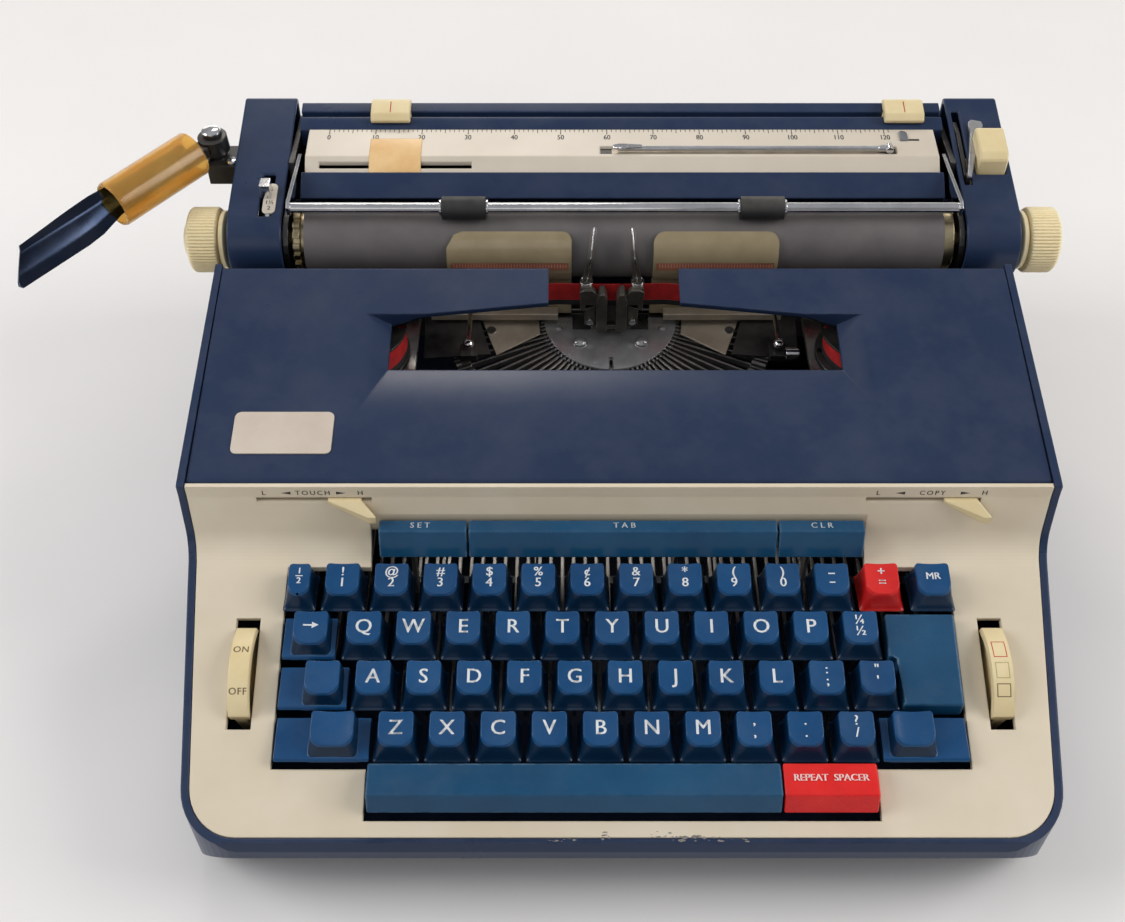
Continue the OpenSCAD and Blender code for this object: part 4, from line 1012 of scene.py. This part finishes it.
def rocker_marks():
    """ON and OFF on the power rocker, three outlined squares on the ribbon selector."""
    power, red, pale, dark = Shape(), Shape(), Shape(), Shape()
    for text, v in (("ON", 7.2), ("OFF", -9.3)):
        stamp(power, letters(text, 2.7, 1.1, 0.04), on_rocker(-1), (0, v))
    piece("power_rocker_print", power, [PRINT_BROWN], "power")
    for shape, v0, v1 in ((red, 4.2, 10.8), (pale, -4.1, 1.8), (dark, -11.2, -6.4)):
        stamp(shape, square_mark(v0, v1), on_rocker(1))
    piece("selector_red_mark", red, [PRINT_RED], "selector")
    piece("selector_pale_mark", pale, [PRINT_PALE], "selector")
    piece("selector_dark_mark", dark, [PRINT_BROWN], "selector")


scale_marks()
margin_stops()
strip_labels()
name_plate()
line_space_plate()
rocker_marks()

# Type basket and ribbon

SEGMENT_AT = leaning((0, SEGMENT_Y, SEGMENT_Z), SEGMENT_TILT)
BAR_COUNT, BAR_SPREAD, PIVOT_R, BAR_TIP = 43, 168.0, 28.0, 75.0
PLATE_R, PLATE_LOW, PLATE_HIGH = 30.6, 1.0, 2.1
DOME_HEAD = [(3.1, 2.0), (3.0, 2.7), (2.3, 3.4), (1.2, 3.8), (0.2, 3.9)]
SMALL_HEAD = [(1.4, 2.0), (1.3, 2.6), (0.8, 2.85), (0.2, 2.9)]
SUNK_HEAD = [(2.1, 1.4), (2.1, 1.95), (1.5, 1.95), (1.1, 1.75), (0.2, 1.75)]
BASKET_RAIL = [(70.0, 81.2), (71.0, 81.0), (71.4, 83.2), (75.0, 83.8), (74.8, 85.0), (70.4, 84.4)]
POST_Z = 85.2
POST_BALL = [(0.4, 47.4), (1.7, 48.0), (2.4, 49.4), (2.4, 50.6), (1.7, 52.0), (0.4, 52.6)]


def segment_plates():
    """Bright half-round plate over the segment with its rivets, and the two side plates."""
    face, wings = Shape(), Shape()
    turn = [math.pi * k / 48 for k in range(49)]
    arc = [(-PLATE_R * math.cos(t), -PLATE_R * math.sin(t)) for t in turn]
    slot = [(-0.9, -PLATE_R), (-0.9, -23.4), (0.9, -23.4), (0.9, -PLATE_R)]
    outline = [p for p in arc if p[0] < -1.5] + slot + [p for p in arc if p[0] > 1.5]
    outline += [(17.3, 0.0), (17.3, -7.5), (-17.3, -7.5), (-17.3, 0.0)]
    face.prism("Z", outline, PLATE_LOW, PLATE_HIGH, 0.2, 0, SEGMENT_AT)
    for x in (-14.0, 14.0):
        face.turned("Z", (x, -15.2), DOME_HEAD, 0, 24, SEGMENT_AT)
    for x in (-23.6, 23.6):
        face.turned("Z", (x, -6.8), SMALL_HEAD, 0, 16, SEGMENT_AT)
    piece("segment_plate", face, [BRIGHT_PLATE], "body")
    wing = [(-59.6, 0.0), (-52.0, -21.8), (-32.2, -9.6), (-33.0, 0.0)]
    for outline, x in ((wing, -54.6), (mirrored(wing), 54.6)):
        wings.prism("Z", outline, 0.7, 1.5, 0.2, 0, SEGMENT_AT)
        wings.turned("Z", (x, -7.6), SUNK_HEAD, 1, 20, SEGMENT_AT)
    for x0, x1 in ((-82.0, -24.0), (24.0, 78.0)):
        wings.prism("X", BASKET_RAIL, x0, x1, 0.3)
    piece("basket_side_plates", wings, [SATIN_STEEL, DARK_STEEL], "body")


def basket_brackets():
    """Dark brackets at both ends of the basket, with a bright post and ball on each."""
    dark, bright = Shape(), Shape()
    bracket = [(-85.0, -0.6), (-85.0, -25.0), (-54.5, -22.6), (-60.6, -0.6)]
    for outline, x in ((bracket, -64.0), (mirrored(bracket), 74.6)):
        dark.prism("Z", outline, 2.0, 3.0, 0.25, 0, SEGMENT_AT)
        dark.box((x - 4.0, 45.0, 79.0), (x + 4.0, 53.0, 82.6), 0.5)
        bright.turned("Y", (x, POST_Z), [(1.1, 50.0), (1.1, 71.0)], 0, 20)
        bright.turned("Y", (x, POST_Z), POST_BALL, 0, 24)
    bright.turned("X", (44.0, 84.6), [(2.6, 77.0), (2.9, 77.4), (2.9, 82.4), (2.6, 82.8)], 0, 24)
    piece("basket_brackets", dark, [BLACK_PLASTIC], "body")
    piece("basket_posts", bright, [CHROME], "body")


def typebar(shape, angle):
    """Bar that narrows from the segment to its slug."""
    at = SEGMENT_AT @ Matrix.Rotation(math.radians(angle), 4, "Z")
    stations = [(PIVOT_R - 1.7, 0.42), (PIVOT_R + 3, 0.6), (46.0, 0.5), (BAR_TIP - 5, 0.4),
                (BAR_TIP, 0.4)]
    shape.rings([[(-half, -r, -3.8), (half, -r, -3.8), (half, -r, -0.4), (-half, -r, -0.4)]
                 for r, half in stations], 0, at)
    shape.box((-1.3, -BAR_TIP - 0.4, -3.8), (1.3, -BAR_TIP + 6.5, -0.5), 0.25, 0, at)
    shape.box((-0.9, -BAR_TIP - 0.4, -1.0), (0.9, -BAR_TIP + 6.5, 1.8), 0.25, 0, at)


def type_basket():
    bars, middle = Shape(), Shape()
    for i in range(BAR_COUNT):
        angle = (i - (BAR_COUNT - 1) / 2) * BAR_SPREAD / (BAR_COUNT - 1)
        typebar(bars if i != BAR_COUNT // 2 else middle, angle)
    middle.turned("X", (-PIVOT_R, -2.0), [(1.7, -0.5), (1.7, 0.5)], 0, 20, SEGMENT_AT)
    piece("fixed_typebars", bars, [BAR_STEEL], "body", ["typebars"])
    piece("swinging_typebar", middle, [BAR_STEEL], "typebar", ["centre_typebar"])


ARM_LOW, ARM_HIGH, ARM_R, ARM_X = math.radians(205), math.radians(128), PLATEN_R + 3.7, 11.4
GUIDE_BLOCK = [(2.0, 82.0), (6.8, 82.0), (6.8, 99.0), (5.4, 104.0), (3.4, 104.0), (2.0, 100.6)]
GUIDE_SHOULDER = [(6.2, 95.5), (14.0, 92.0), (14.4, 102.6), (12.6, 103.8), (8.4, 103.8), (6.2, 101.0)]


def type_guide():
    """Guide block in two halves, and two slim arms that lean together over the platen."""
    guide, wire = Shape(), Shape()
    y0, y1 = SEGMENT_Y - 14, SEGMENT_Y - 7
    for turned_over in (False, True):
        for outline, low, high in ((GUIDE_BLOCK, y0, y1), (GUIDE_SHOULDER, y0 + 3, y1 - 0.6)):
            outline = mirrored(outline) if turned_over else outline
            guide.prism("Y", outline, low, high, 0.4)
    guide.box((-9, y0 + 4, 80), (9, SEGMENT_Y + 8, 82.5), 0.5)
    for side in (-1, 1):
        foot_x, screw_x = side * ARM_X, side * 9.6
        guide.box((foot_x - 2.6, y0 + 4, 103.2), (foot_x + 2.6, 71.2, 104.6), 0.3)
        rings, bright = [], []
        for k in range(15):
            share = k / 14
            a = ARM_LOW + (ARM_HIGH - ARM_LOW) * share
            x, half = side * (ARM_X - 3.2 * share), 2.1 - 1.0 * share
            for made, w, low, high in ((rings, half, 0.0, 1.3), (bright, 0.35, 1.2, 1.6)):
                r0, r1 = ARM_R + low, ARM_R + high
                made.append([(x + e, PLATEN_Y + r * math.cos(a), PLATEN_Z + r * math.sin(a))
                             for e, r in ((-w, r0), (w, r0), (w, r1), (-w, r1))])
        guide.rings(rings)
        wire.rings(bright)
        wire.pipe("Z", (foot_x, 69.4), 2.5, 3.1, 104.5, 105.3)
        head = [(1.6, y0 + 2.0), (1.6, y0 + 2.9), (1.1, y0 + 3.2)]
        wire.turned("Y", (screw_x, 86.0), head, 0, 16)
        guide.box((screw_x - 2.4, y0 + 3, 83.6), (screw_x + 2.4, y1 - 1, 96.0), 0.4)
    piece("type_guide_block", guide, [GUIDE_STEEL], "body", ["type_guide"])
    piece("type_guide_wires", wire, [CHROME], "body")


HOLDER_R = PLATEN_R + 0.8
HOLDER_LOW, HOLDER_HIGH = math.radians(222), math.radians(130)


def bent_plate(shape, outline, to_surface, low, high, material=0, step=1.2):
    """Plate cut to a flat outline, then bent over a surface; low and high are its two faces."""
    part = straight_solid("Z", outline, low, high)
    for k in range(1, int(max(v for _, v in outline) / step) + 1):
        bmesh.ops.bisect_plane(part, geom=part.verts[:] + part.edges[:] + part.faces[:],
                               plane_co=(0, k * step, 0), plane_no=(0, 1, 0))
    for vert in part.verts:
        vert.co = to_surface(*vert.co)
    shape.merge(part, material)


def on_holder(u, v, lift=0.0):
    """Round face of a card holder: v runs up it from its foot."""
    a = HOLDER_LOW - v / HOLDER_R
    r = HOLDER_R + lift
    return Vector((u, PLATEN_Y + r * math.cos(a), PLATEN_Z + r * math.sin(a)))


def card_holders():
    """Clear plates along the platen with rounded corners and a row of fine marks."""
    holders, marks = Shape(), Shape()
    tall = (HOLDER_LOW - HOLDER_HIGH) * HOLDER_R
    foot, low = on_holder(0.0, 0.0).yz
    left = [(-73.0, 0), (-18.0, 0), (-18.0, tall - 4)]
    left += [(-22 + 4 * math.cos(t), tall - 4 + 4 * math.sin(t))
             for t in (0.4, 0.8, 1.2, math.pi / 2)]
    left += [(-66.0, tall), (-69.6, tall - 1.4), (-73.0, tall - 7.0)]
    right = rounded(18.0, 0, 73.0, tall, 5.0)
    for outline, x0, x1 in ((left, -73.0, -18.0), (right, 18.0, 73.0)):
        bent_plate(holders, outline, on_holder, 0.0, 0.8)
        holders.box((x0, foot - 0.9, SEGMENT_Z + 3), (x1, foot - 0.1, low + 0.2))
        holders.box((x0, foot - 0.9, SEGMENT_Z + 3), (x1, SEGMENT_Y + 8, SEGMENT_Z + 4))
        ticks = [bar_mark(x0 + 3 + 1.27 * k, 12.4, 0.36, 1.9) for k in range(40)]
        stamp(marks, flat_marks(ticks), lambda u, v: on_holder(u, v, 0.88))
        band = rounded(x0 + 1.5, 9.8, x1 - 1.5, 14.0, 0.4)
        bent_plate(marks, band, on_holder, 0.81, 0.84, 1)
    piece("card_holder_plates", holders, [CLEAR_PLASTIC], "body", ["card_holders"])
    piece("card_holder_marks", marks, [PRINT_PINK, PRINT_COPPER], "body")


def ribbon_band(shape, path, low, high, material):
    """Thin band along a path in plan, gently bowed between its ends."""
    rings = []
    for (x0, y0), (x1, y1) in zip(path, path[1:]):
        for k in range(9):
            share = k / 8
            bow = 0.5 * math.sin(math.pi * share)
            x, y = x0 + (x1 - x0) * share, y0 + (y1 - y0) * share - bow
            rings.append([(x, y, low), (x, y + 0.35, low), (x, y + 0.35, high), (x, y, high)])
    shape.rings(rings, material)


def ribbon():
    """Two-colour ribbon from spool to spool, and the turns wound on each spool."""
    band = Shape()
    low, split, high = SPOOL_Z + 1.7, SPOOL_Z + 4.6, SPOOL_Z + 13.9
    left_r, right_r = 22.3, 20.2
    front = PLATEN_Y - PLATEN_R - 2.6
    path = [(-SPOOL_X + 2, SPOOL_Y + left_r), (-24, front), (24, front),
            (SPOOL_X - 2, SPOOL_Y + right_r)]
    ribbon_band(band, path, low, split, 1)
    ribbon_band(band, path, split, high, 0)
    piece("ribbon_band", band, [RED_INK, BLACK_INK], "body", ["ribbon"])
    for side, x, r in (("left", -SPOOL_X, left_r), ("right", SPOOL_X, right_r)):
        wound = Shape()
        for start, end, material in ((SPOOL_Z + 1.42, split, 1), (split, SPOOL_Z + 14.15, 0)):
            wound.pipe("Z", (x, SPOOL_Y), 18.05, r, start, end, material, 64)
        piece(side + "_wound_ribbon", wound, [RED_INK, BLACK_INK], "spool_" + side)


segment_plates()
basket_brackets()
type_basket()
type_guide()
card_holders()
ribbon()

# Return lever, knobs and small fittings

LEVER_PIVOT = (-180.0, 124.72, 140.3)
LEVER_AT = (Matrix.Translation(LEVER_PIVOT) @ Matrix.Rotation(math.radians(229), 4, "Z")
            @ Matrix.Rotation(math.radians(3.5), 4, "Y"))
BLADE_AT = LEVER_AT @ Matrix.Rotation(math.radians(-52), 4, "X")
SLEEVE_START, SLEEVE_END, SLEEVE_R = 11.2, 56.7, 10.3
BLADE_STATIONS = [(14.0, 4.2, 0.4), (40.0, 4.6, 0.5), (56.0, 5.2, 0.9), (62.0, 6.6, 1.0),
                  (68.0, 8.0, 0.95), (76.0, 8.6, 0.85), (86.0, 8.6, 0.65), (None, 8.6, 0.4)]
BLADE_FOLD, BLADE_HALF_T = -4.2, 0.7
LEVER_HUB = [(3.5, -4.6), (6.6, -4.6), (6.6, 2.6), (6.0, 3.1), (3.5, 3.1)]


def blade_section(low, fold_share):
    """Middle line of the blade across its width: hollow face, curled lower edge, folded flange."""
    line = []
    for k in range(9):
        share = k / 8
        curl = 1.3 * max(0.0, 1 - share / 0.3) ** 2
        line.append((low + (BLADE_FOLD - low) * share, curl - 0.7 * math.sin(math.pi * share)))
    line.append((BLADE_FOLD - 0.9, -0.5))
    line.append((BLADE_FOLD - 0.9 - 3.4 * fold_share, -0.5 - 3.6 * fold_share))
    return line


def blade_end(a):
    """The blade's tip is cut on a slant and rounded at its corners."""
    corner = 2.6 * max(0.0, (a - 6.0) / 2.6) ** 2
    return 98.0 + (a + 8.6) * 0.84 - corner


def return_lever():
    """Bent blade that narrows into a clear amber sleeve; its last station is the cut tip."""
    rings = []
    for s, low, fold_share in BLADE_STATIONS:
        line = blade_section(low, fold_share)
        front = [(blade_end(a) if s is None else s, a, b + BLADE_HALF_T) for a, b in line]
        back = [(x, a, b - 2 * BLADE_HALF_T) for x, a, b in reversed(front)]
        rings.append(front + back)
    blade = Shape()
    blade.rings(rings, 0, BLADE_AT)
    blade.turned("Z", (0, 0), LEVER_HUB, 1, 32, LEVER_AT, True)
    blade.box((4.6, -3.6, -3.8), (20.0, 3.6, 1.6), 0.6, 1, LEVER_AT)
    # The blade's dark navy colour is a painted reflection on chrome.
    piece("lever_blade", blade, [NAVY_REFLECTION_CHROME, BLACK_PLASTIC], "lever", ["return_lever"])
    sleeve = Shape()
    r, wall = SLEEVE_R, 1.5
    profile = [(r - wall, SLEEVE_START), (r - 0.5, SLEEVE_START), (r, SLEEVE_START + 0.8),
               (r, SLEEVE_END - 1.0), (r - 0.5, SLEEVE_END), (r - wall + 0.3, SLEEVE_END),
               (r - wall, SLEEVE_END - 0.8)]
    sleeve.turned("X", (0, 0), profile, 0, 64, LEVER_AT, True)
    piece("amber_grip", sleeve, [AMBER_SLEEVE], "lever", ["lever_sleeve"])


RIBS = 60
KNOB_PROFILE = [(5.4, 12.4, 0.0), (5.8, 14.0, 0.2), (6.6, 14.55, 0.6), (17.2, 14.55, 0.6),
                (18.3, 13.9, 0.4), (18.9, 12.9, 0.0), (18.5, 12.2, 0.0), (18.1, 11.4, 0.0)]
COLLAR = [(4.1, 2.1), (12.2, 2.1), (13.0, 2.7), (13.0, 4.2), (12.4, 4.8), (4.1, 4.8)]
NECK = [(4.1, 4.6), (10.8, 4.6), (10.8, 5.6), (4.1, 5.6)]


def rib_ring(x, radius, depth):
    """Ring of a ribbed grip about the platen's axis."""
    ring = []
    for k in range(RIBS):
        for share, cut in ((0.0, 1), (0.22, 0), (0.6, 0), (0.82, 1)):
            t = 2 * math.pi * (k + share) / RIBS
            r = radius - cut * depth
            ring.append((x, PLATEN_Y + r * math.cos(t), PLATEN_Z + r * math.sin(t)))
    return ring


def platen_knobs():
    """Ribbed grips with a plain collar; the left one has a push button."""
    knobs = Shape()
    for side in (-1, 1):
        base = CARRIAGE_X + side * END_X
        knobs.rings([rib_ring(base + side * d, r, cut) for d, r, cut in KNOB_PROFILE])
        reach = 21.3 if side < 0 else 18.7
        button = [(7.6, 17.6), (7.6, reach - 0.8), (6.9, reach), (0.3, reach)]
        for profile, count, closed in ((COLLAR, 64, True), (NECK, 64, True), (button, 48, False)):
            knobs.turned("X", (PLATEN_Y, PLATEN_Z), [(r, base + side * d) for r, d in profile],
                         0, count, None, closed)
    piece("ribbed_knobs", knobs, [KNOB_CREAM], "platen", ["platen_knobs"])


PADDLE = [(-1.0, 0.0), (1.0, 0.0), (1.3, 14.0), (3.0, 17.6), (3.3, 33.0), (2.4, 35.0),
          (-2.6, 35.0), (-3.4, 33.2), (-3.0, 29.6), (-1.7, 27.0), (-1.4, 14.0)]
PADDLE_ARM = [(54, 18), (54, 25.4), (46, 25.4), (19.4, 20.2), (18.8, 22.6), (15.6, 22.2),
              (15.6, 17.6), (46, 21.6), (46, 18)]
PADDLE_TURN = math.radians(-13)


def paper_release():
    """Flat paddle over the end cover, on an arm that runs in the cover's slot."""
    arm = Shape()
    x0, x1 = SIDE_X + CARRIAGE_X + 5.4, SIDE_X + CARRIAGE_X + 7.2
    y, z = PLATEN_Y, PLATEN_Z
    arm.prism("X", moved(PADDLE_ARM, y, z), x0, x1, 0.2, 1)
    at = leaning(((x0 + x1) / 2, y + 15.4, z + 22.2), END_SLOPE)
    arm.prism("Z", PADDLE, 0.0, 1.3, 0.35, 0, at @ Matrix.Rotation(PADDLE_TURN, 4, "Z"))
    hub = [(2.6, x0 - 0.4), (3.2, x0), (3.2, x1), (2.6, x1 + 0.4)]
    arm.turned("X", (y + 50, z + 22), hub, 1, 24)
    piece("paper_release_paddle", arm, [BRIGHT_PLATE, DARK_STEEL], "paper_release",
          ["paper_release_lever"])


RELEASE_BLOCK = [(-9, 14), (-9, 28), (-6, 30.8), (8, 33.4), (9, 32.6), (9, 14)]


def carriage_release():
    """Push block with cut-off edges and a foot under the end cover."""
    block = Shape()
    x, y = SIDE_X + CARRIAGE_X + 17.3, PLATEN_Y + 29.5
    block.prism("X", moved(RELEASE_BLOCK, y, PLATEN_Z), x - 6.4, x + 6.4, 1.5, 0, None, 1)
    block.box((x - 7.6, y - 10.6, PLATEN_Z + 13), (x + 6.8, y + 10.6, PLATEN_Z + 15.4), 0.4)
    piece("release_block", block, [CREAM_PLASTIC], "release_button", ["carriage_release"],
          20)


BAIL_Y, BAIL_Z = 84.12, 133.84
SCREW_PLACES = [(-140, -120), (140, -120), (-140, 120), (140, 120), (-20, -90), (-20, 90)]
SCREW_HEAD = [(1.2, 5.0), (3.4, 4.9), (4.0, 5.4), (4.0, 6.2), (1.2, 6.2)]


def small_fittings():
    """Washers beside the bail rollers, screws under the casing and on the lever's bracket."""
    washers, screws = Shape(), Shape()
    for x in (CARRIAGE_X - 70, CARRIAGE_X + 60):
        for edge in (-10.6, 9.7):
            washers.pipe("X", (BAIL_Y, BAIL_Z), 2.42, 3.7, x + edge, x + edge + 0.9)
    piece("bail_washers", washers, [CHROME], "bail")
    for x, y in SCREW_PLACES:
        screws.turned("Z", (x, y), SCREW_HEAD, 0, 28, None, True)
        screws.box((x - 1.3, y - 0.3, 5.4), (x + 1.3, y + 0.3, 6.2))
    piece("casing_screws", screws, [DARK_STEEL], "body")
    cap = Shape()
    x, y, z = LEVER_PIVOT
    pivot_cap = [(4.3, z + 4.98), (4.3, z + 5.6), (3.4, z + 6.4), (1.0, z + 6.5)]
    cap.turned("Z", (x, y), pivot_cap, 0, 32)
    side_screw = [(2.6, z - 7.6), (2.6, z - 6.6), (1.9, z - 5.9), (0.4, z - 5.8)]
    cap.turned("Z", (x + 8.0, y - 5.6), side_screw, 0, 24)
    piece("bracket_screws", cap, [CHROME], "carriage")


SUPPORT_TAB = [(0.6, 31.8), (5.0, 31.5), (7.4, 32.3), (14.0, 32.3), (14.0, 34.7), (8.2, 34.9),
               (3.4, 35.5), (0.6, 34.4)]
SUPPORT_BED = [(-4.9, 0.3, 23.5, 1), (0.3, 124.4, 23.6, 0), (124.4, 129.4, 23.5, 1)]


def support_rest():
    """Bright bed and dark ends of the hollow for the paper support, and the support's finger tab."""
    bed, tab = Shape(), Shape()
    y, z = PLATEN_Y, PLATEN_Z
    for x0, x1, top, material in SUPPORT_BED:
        bed.box((x0, y + 31.1, z + 23.38), (x1, y + 35.9, z + top), 0.0, material)
    piece("support_bed", bed, [SATIN_STEEL, BLACK_PLASTIC], "carriage")
    tab.prism("Z", moved(SUPPORT_TAB, 0.0, y), z + 25.9, z + 26.8, 0.25)
    piece("support_tab", tab, [CHROME], "support")


CHIP_CLUSTERS = [(-28.0, -17.0, -168.5, -167.4, 16, 0.7), (-7.6, -4.8, -168.0, -165.2, 10, 0.9),
                 (10.0, 19.0, -167.4, -165.0, 14, 0.7), (18.0, 38.0, -168.5, -166.8, 24, 1.0),
                 (38.0, 47.0, -168.6, -167.6, 8, 0.5)]
CHIP_LIFT = 0.04


def worn_spots():
    """Clusters of small chips where the front lip's paint has worn."""
    chips = Shape()
    rng = random.Random(7)
    slope = math.atan(DECK_SLOPE)
    for low, high, front, rear, count, largest in CHIP_CLUSTERS:
        for _ in range(count):
            u, v = rng.uniform(low, high), rng.uniform(front, rear)
            size = largest * rng.uniform(0.25, 1.0) ** 2
            outline = [(size * rng.uniform(0.7, 2.0) * math.cos(t),
                        size * rng.uniform(0.3, 0.8) * math.sin(t))
                       for t in [2 * math.pi * i / 9 for i in range(9)]]
            stamp(chips, flat_marks([outline]), on_plane((u, v, deck(v) + CHIP_LIFT), slope))
    piece("front_lip_chips", chips, [BARE_GREY], "body")


return_lever()
platen_knobs()
paper_release()
carriage_release()
small_fittings()
support_rest()
worn_spots()
for node, width in SOFT_NODES.items():
    soften(node, width)

# Stage: pale floor, soft light and the photo's camera

PHOTO_W, FOCAL_PIXELS, SHIFT_PIXELS, SENSOR = 1125, 1354, 26, 36.0
CAMERA_AT, CAMERA_DOWN = (-0.022, -0.396, 0.499), 48.9
FLOOR_REACH = 4.0
OBJECT_MIDDLE = (0, 0, 0.08)
LIGHTS = [
    ("left_window", (-1.3, -0.1, 0.9), OBJECT_MIDDLE, (0.8, 1.0), 13.0, (0.98, 0.98, 1.0)),
    ("right_window", (1.3, -0.1, 0.9), OBJECT_MIDDLE, (0.8, 1.0), 14.0, (1.0, 0.98, 0.96)),
    ("rear_wall", (0.0, 1.8, 0.45), (0, 0, 0.1), (2.6, 0.8), 9.0, (1.0, 0.97, 0.92)),
    ("rear_panel", (-0.2, 1.3, 1.2), (-0.05, 0, 0.1), (0.5, 0.25), 5.0, (1.0, 0.93, 0.86)),
    ("front_fill", (-0.4, -1.6, 1.0), OBJECT_MIDDLE, (1.2, 0.8), 2.0, (1.0, 0.98, 0.95)),
]
FLOOR = surface("floor", (228, 226, 224), (234, 232, 230), (0.7, 0.8), 3.0)


def make_floor():
    mesh = bpy.data.meshes.new("floor")
    r = FLOOR_REACH
    mesh.from_pydata([(-r, -r, 0), (r, -r, 0), (r, r, 0), (-r, r, 0)], [], [(0, 1, 2, 3)])
    mesh.materials.append(FLOOR)
    floor = bpy.data.objects.new("floor", mesh)
    bpy.context.scene.collection.objects.link(floor)


def softbox(name, place, aim, size, power, tint):
    data = bpy.data.lights.new(name, "AREA")
    data.shape = "RECTANGLE"
    data.size, data.size_y = size
    data.energy = power
    data.color = tint
    light = bpy.data.objects.new(name, data)
    light.location = place
    light.rotation_euler = (Vector(aim) - Vector(place)).to_track_quat("-Z", "Y").to_euler()
    bpy.context.scene.collection.objects.link(light)


def make_world():
    """Pale room, brighter overhead than at the sides."""
    world = bpy.data.worlds.new("studio")
    bpy.context.scene.world = world
    world.use_nodes = True
    tree = world.node_tree
    place = tree.nodes.new("ShaderNodeTexCoord").outputs["Generated"]
    split = tree.nodes.new("ShaderNodeSeparateXYZ")
    tree.links.new(place, split.inputs[0])
    height = span(tree, split.outputs["Z"], -0.1, 0.9)
    sky = blend_colour(tree, height, srgb(120, 116, 112), srgb(214, 216, 220))
    back = tree.nodes["Background"]
    tree.links.new(sky, back.inputs["Color"])
    back.inputs["Strength"].default_value = 0.6


def make_camera():
    data = bpy.data.cameras.new("photo_camera")
    data.sensor_fit = "HORIZONTAL"
    data.sensor_width = SENSOR
    data.lens = SENSOR * FOCAL_PIXELS / PHOTO_W
    data.shift_y = SHIFT_PIXELS / PHOTO_W
    data.clip_start = 0.01
    camera = bpy.data.objects.new("photo_camera", data)
    camera.location = CAMERA_AT
    camera.rotation_euler = (math.radians(90 - CAMERA_DOWN), 0, 0)
    bpy.context.scene.collection.objects.link(camera)
    bpy.context.scene.camera = camera


make_floor()
for light in LIGHTS:
    softbox(*light)
make_world()
make_camera()
bpy.context.scene.view_settings.view_transform = "Standard"
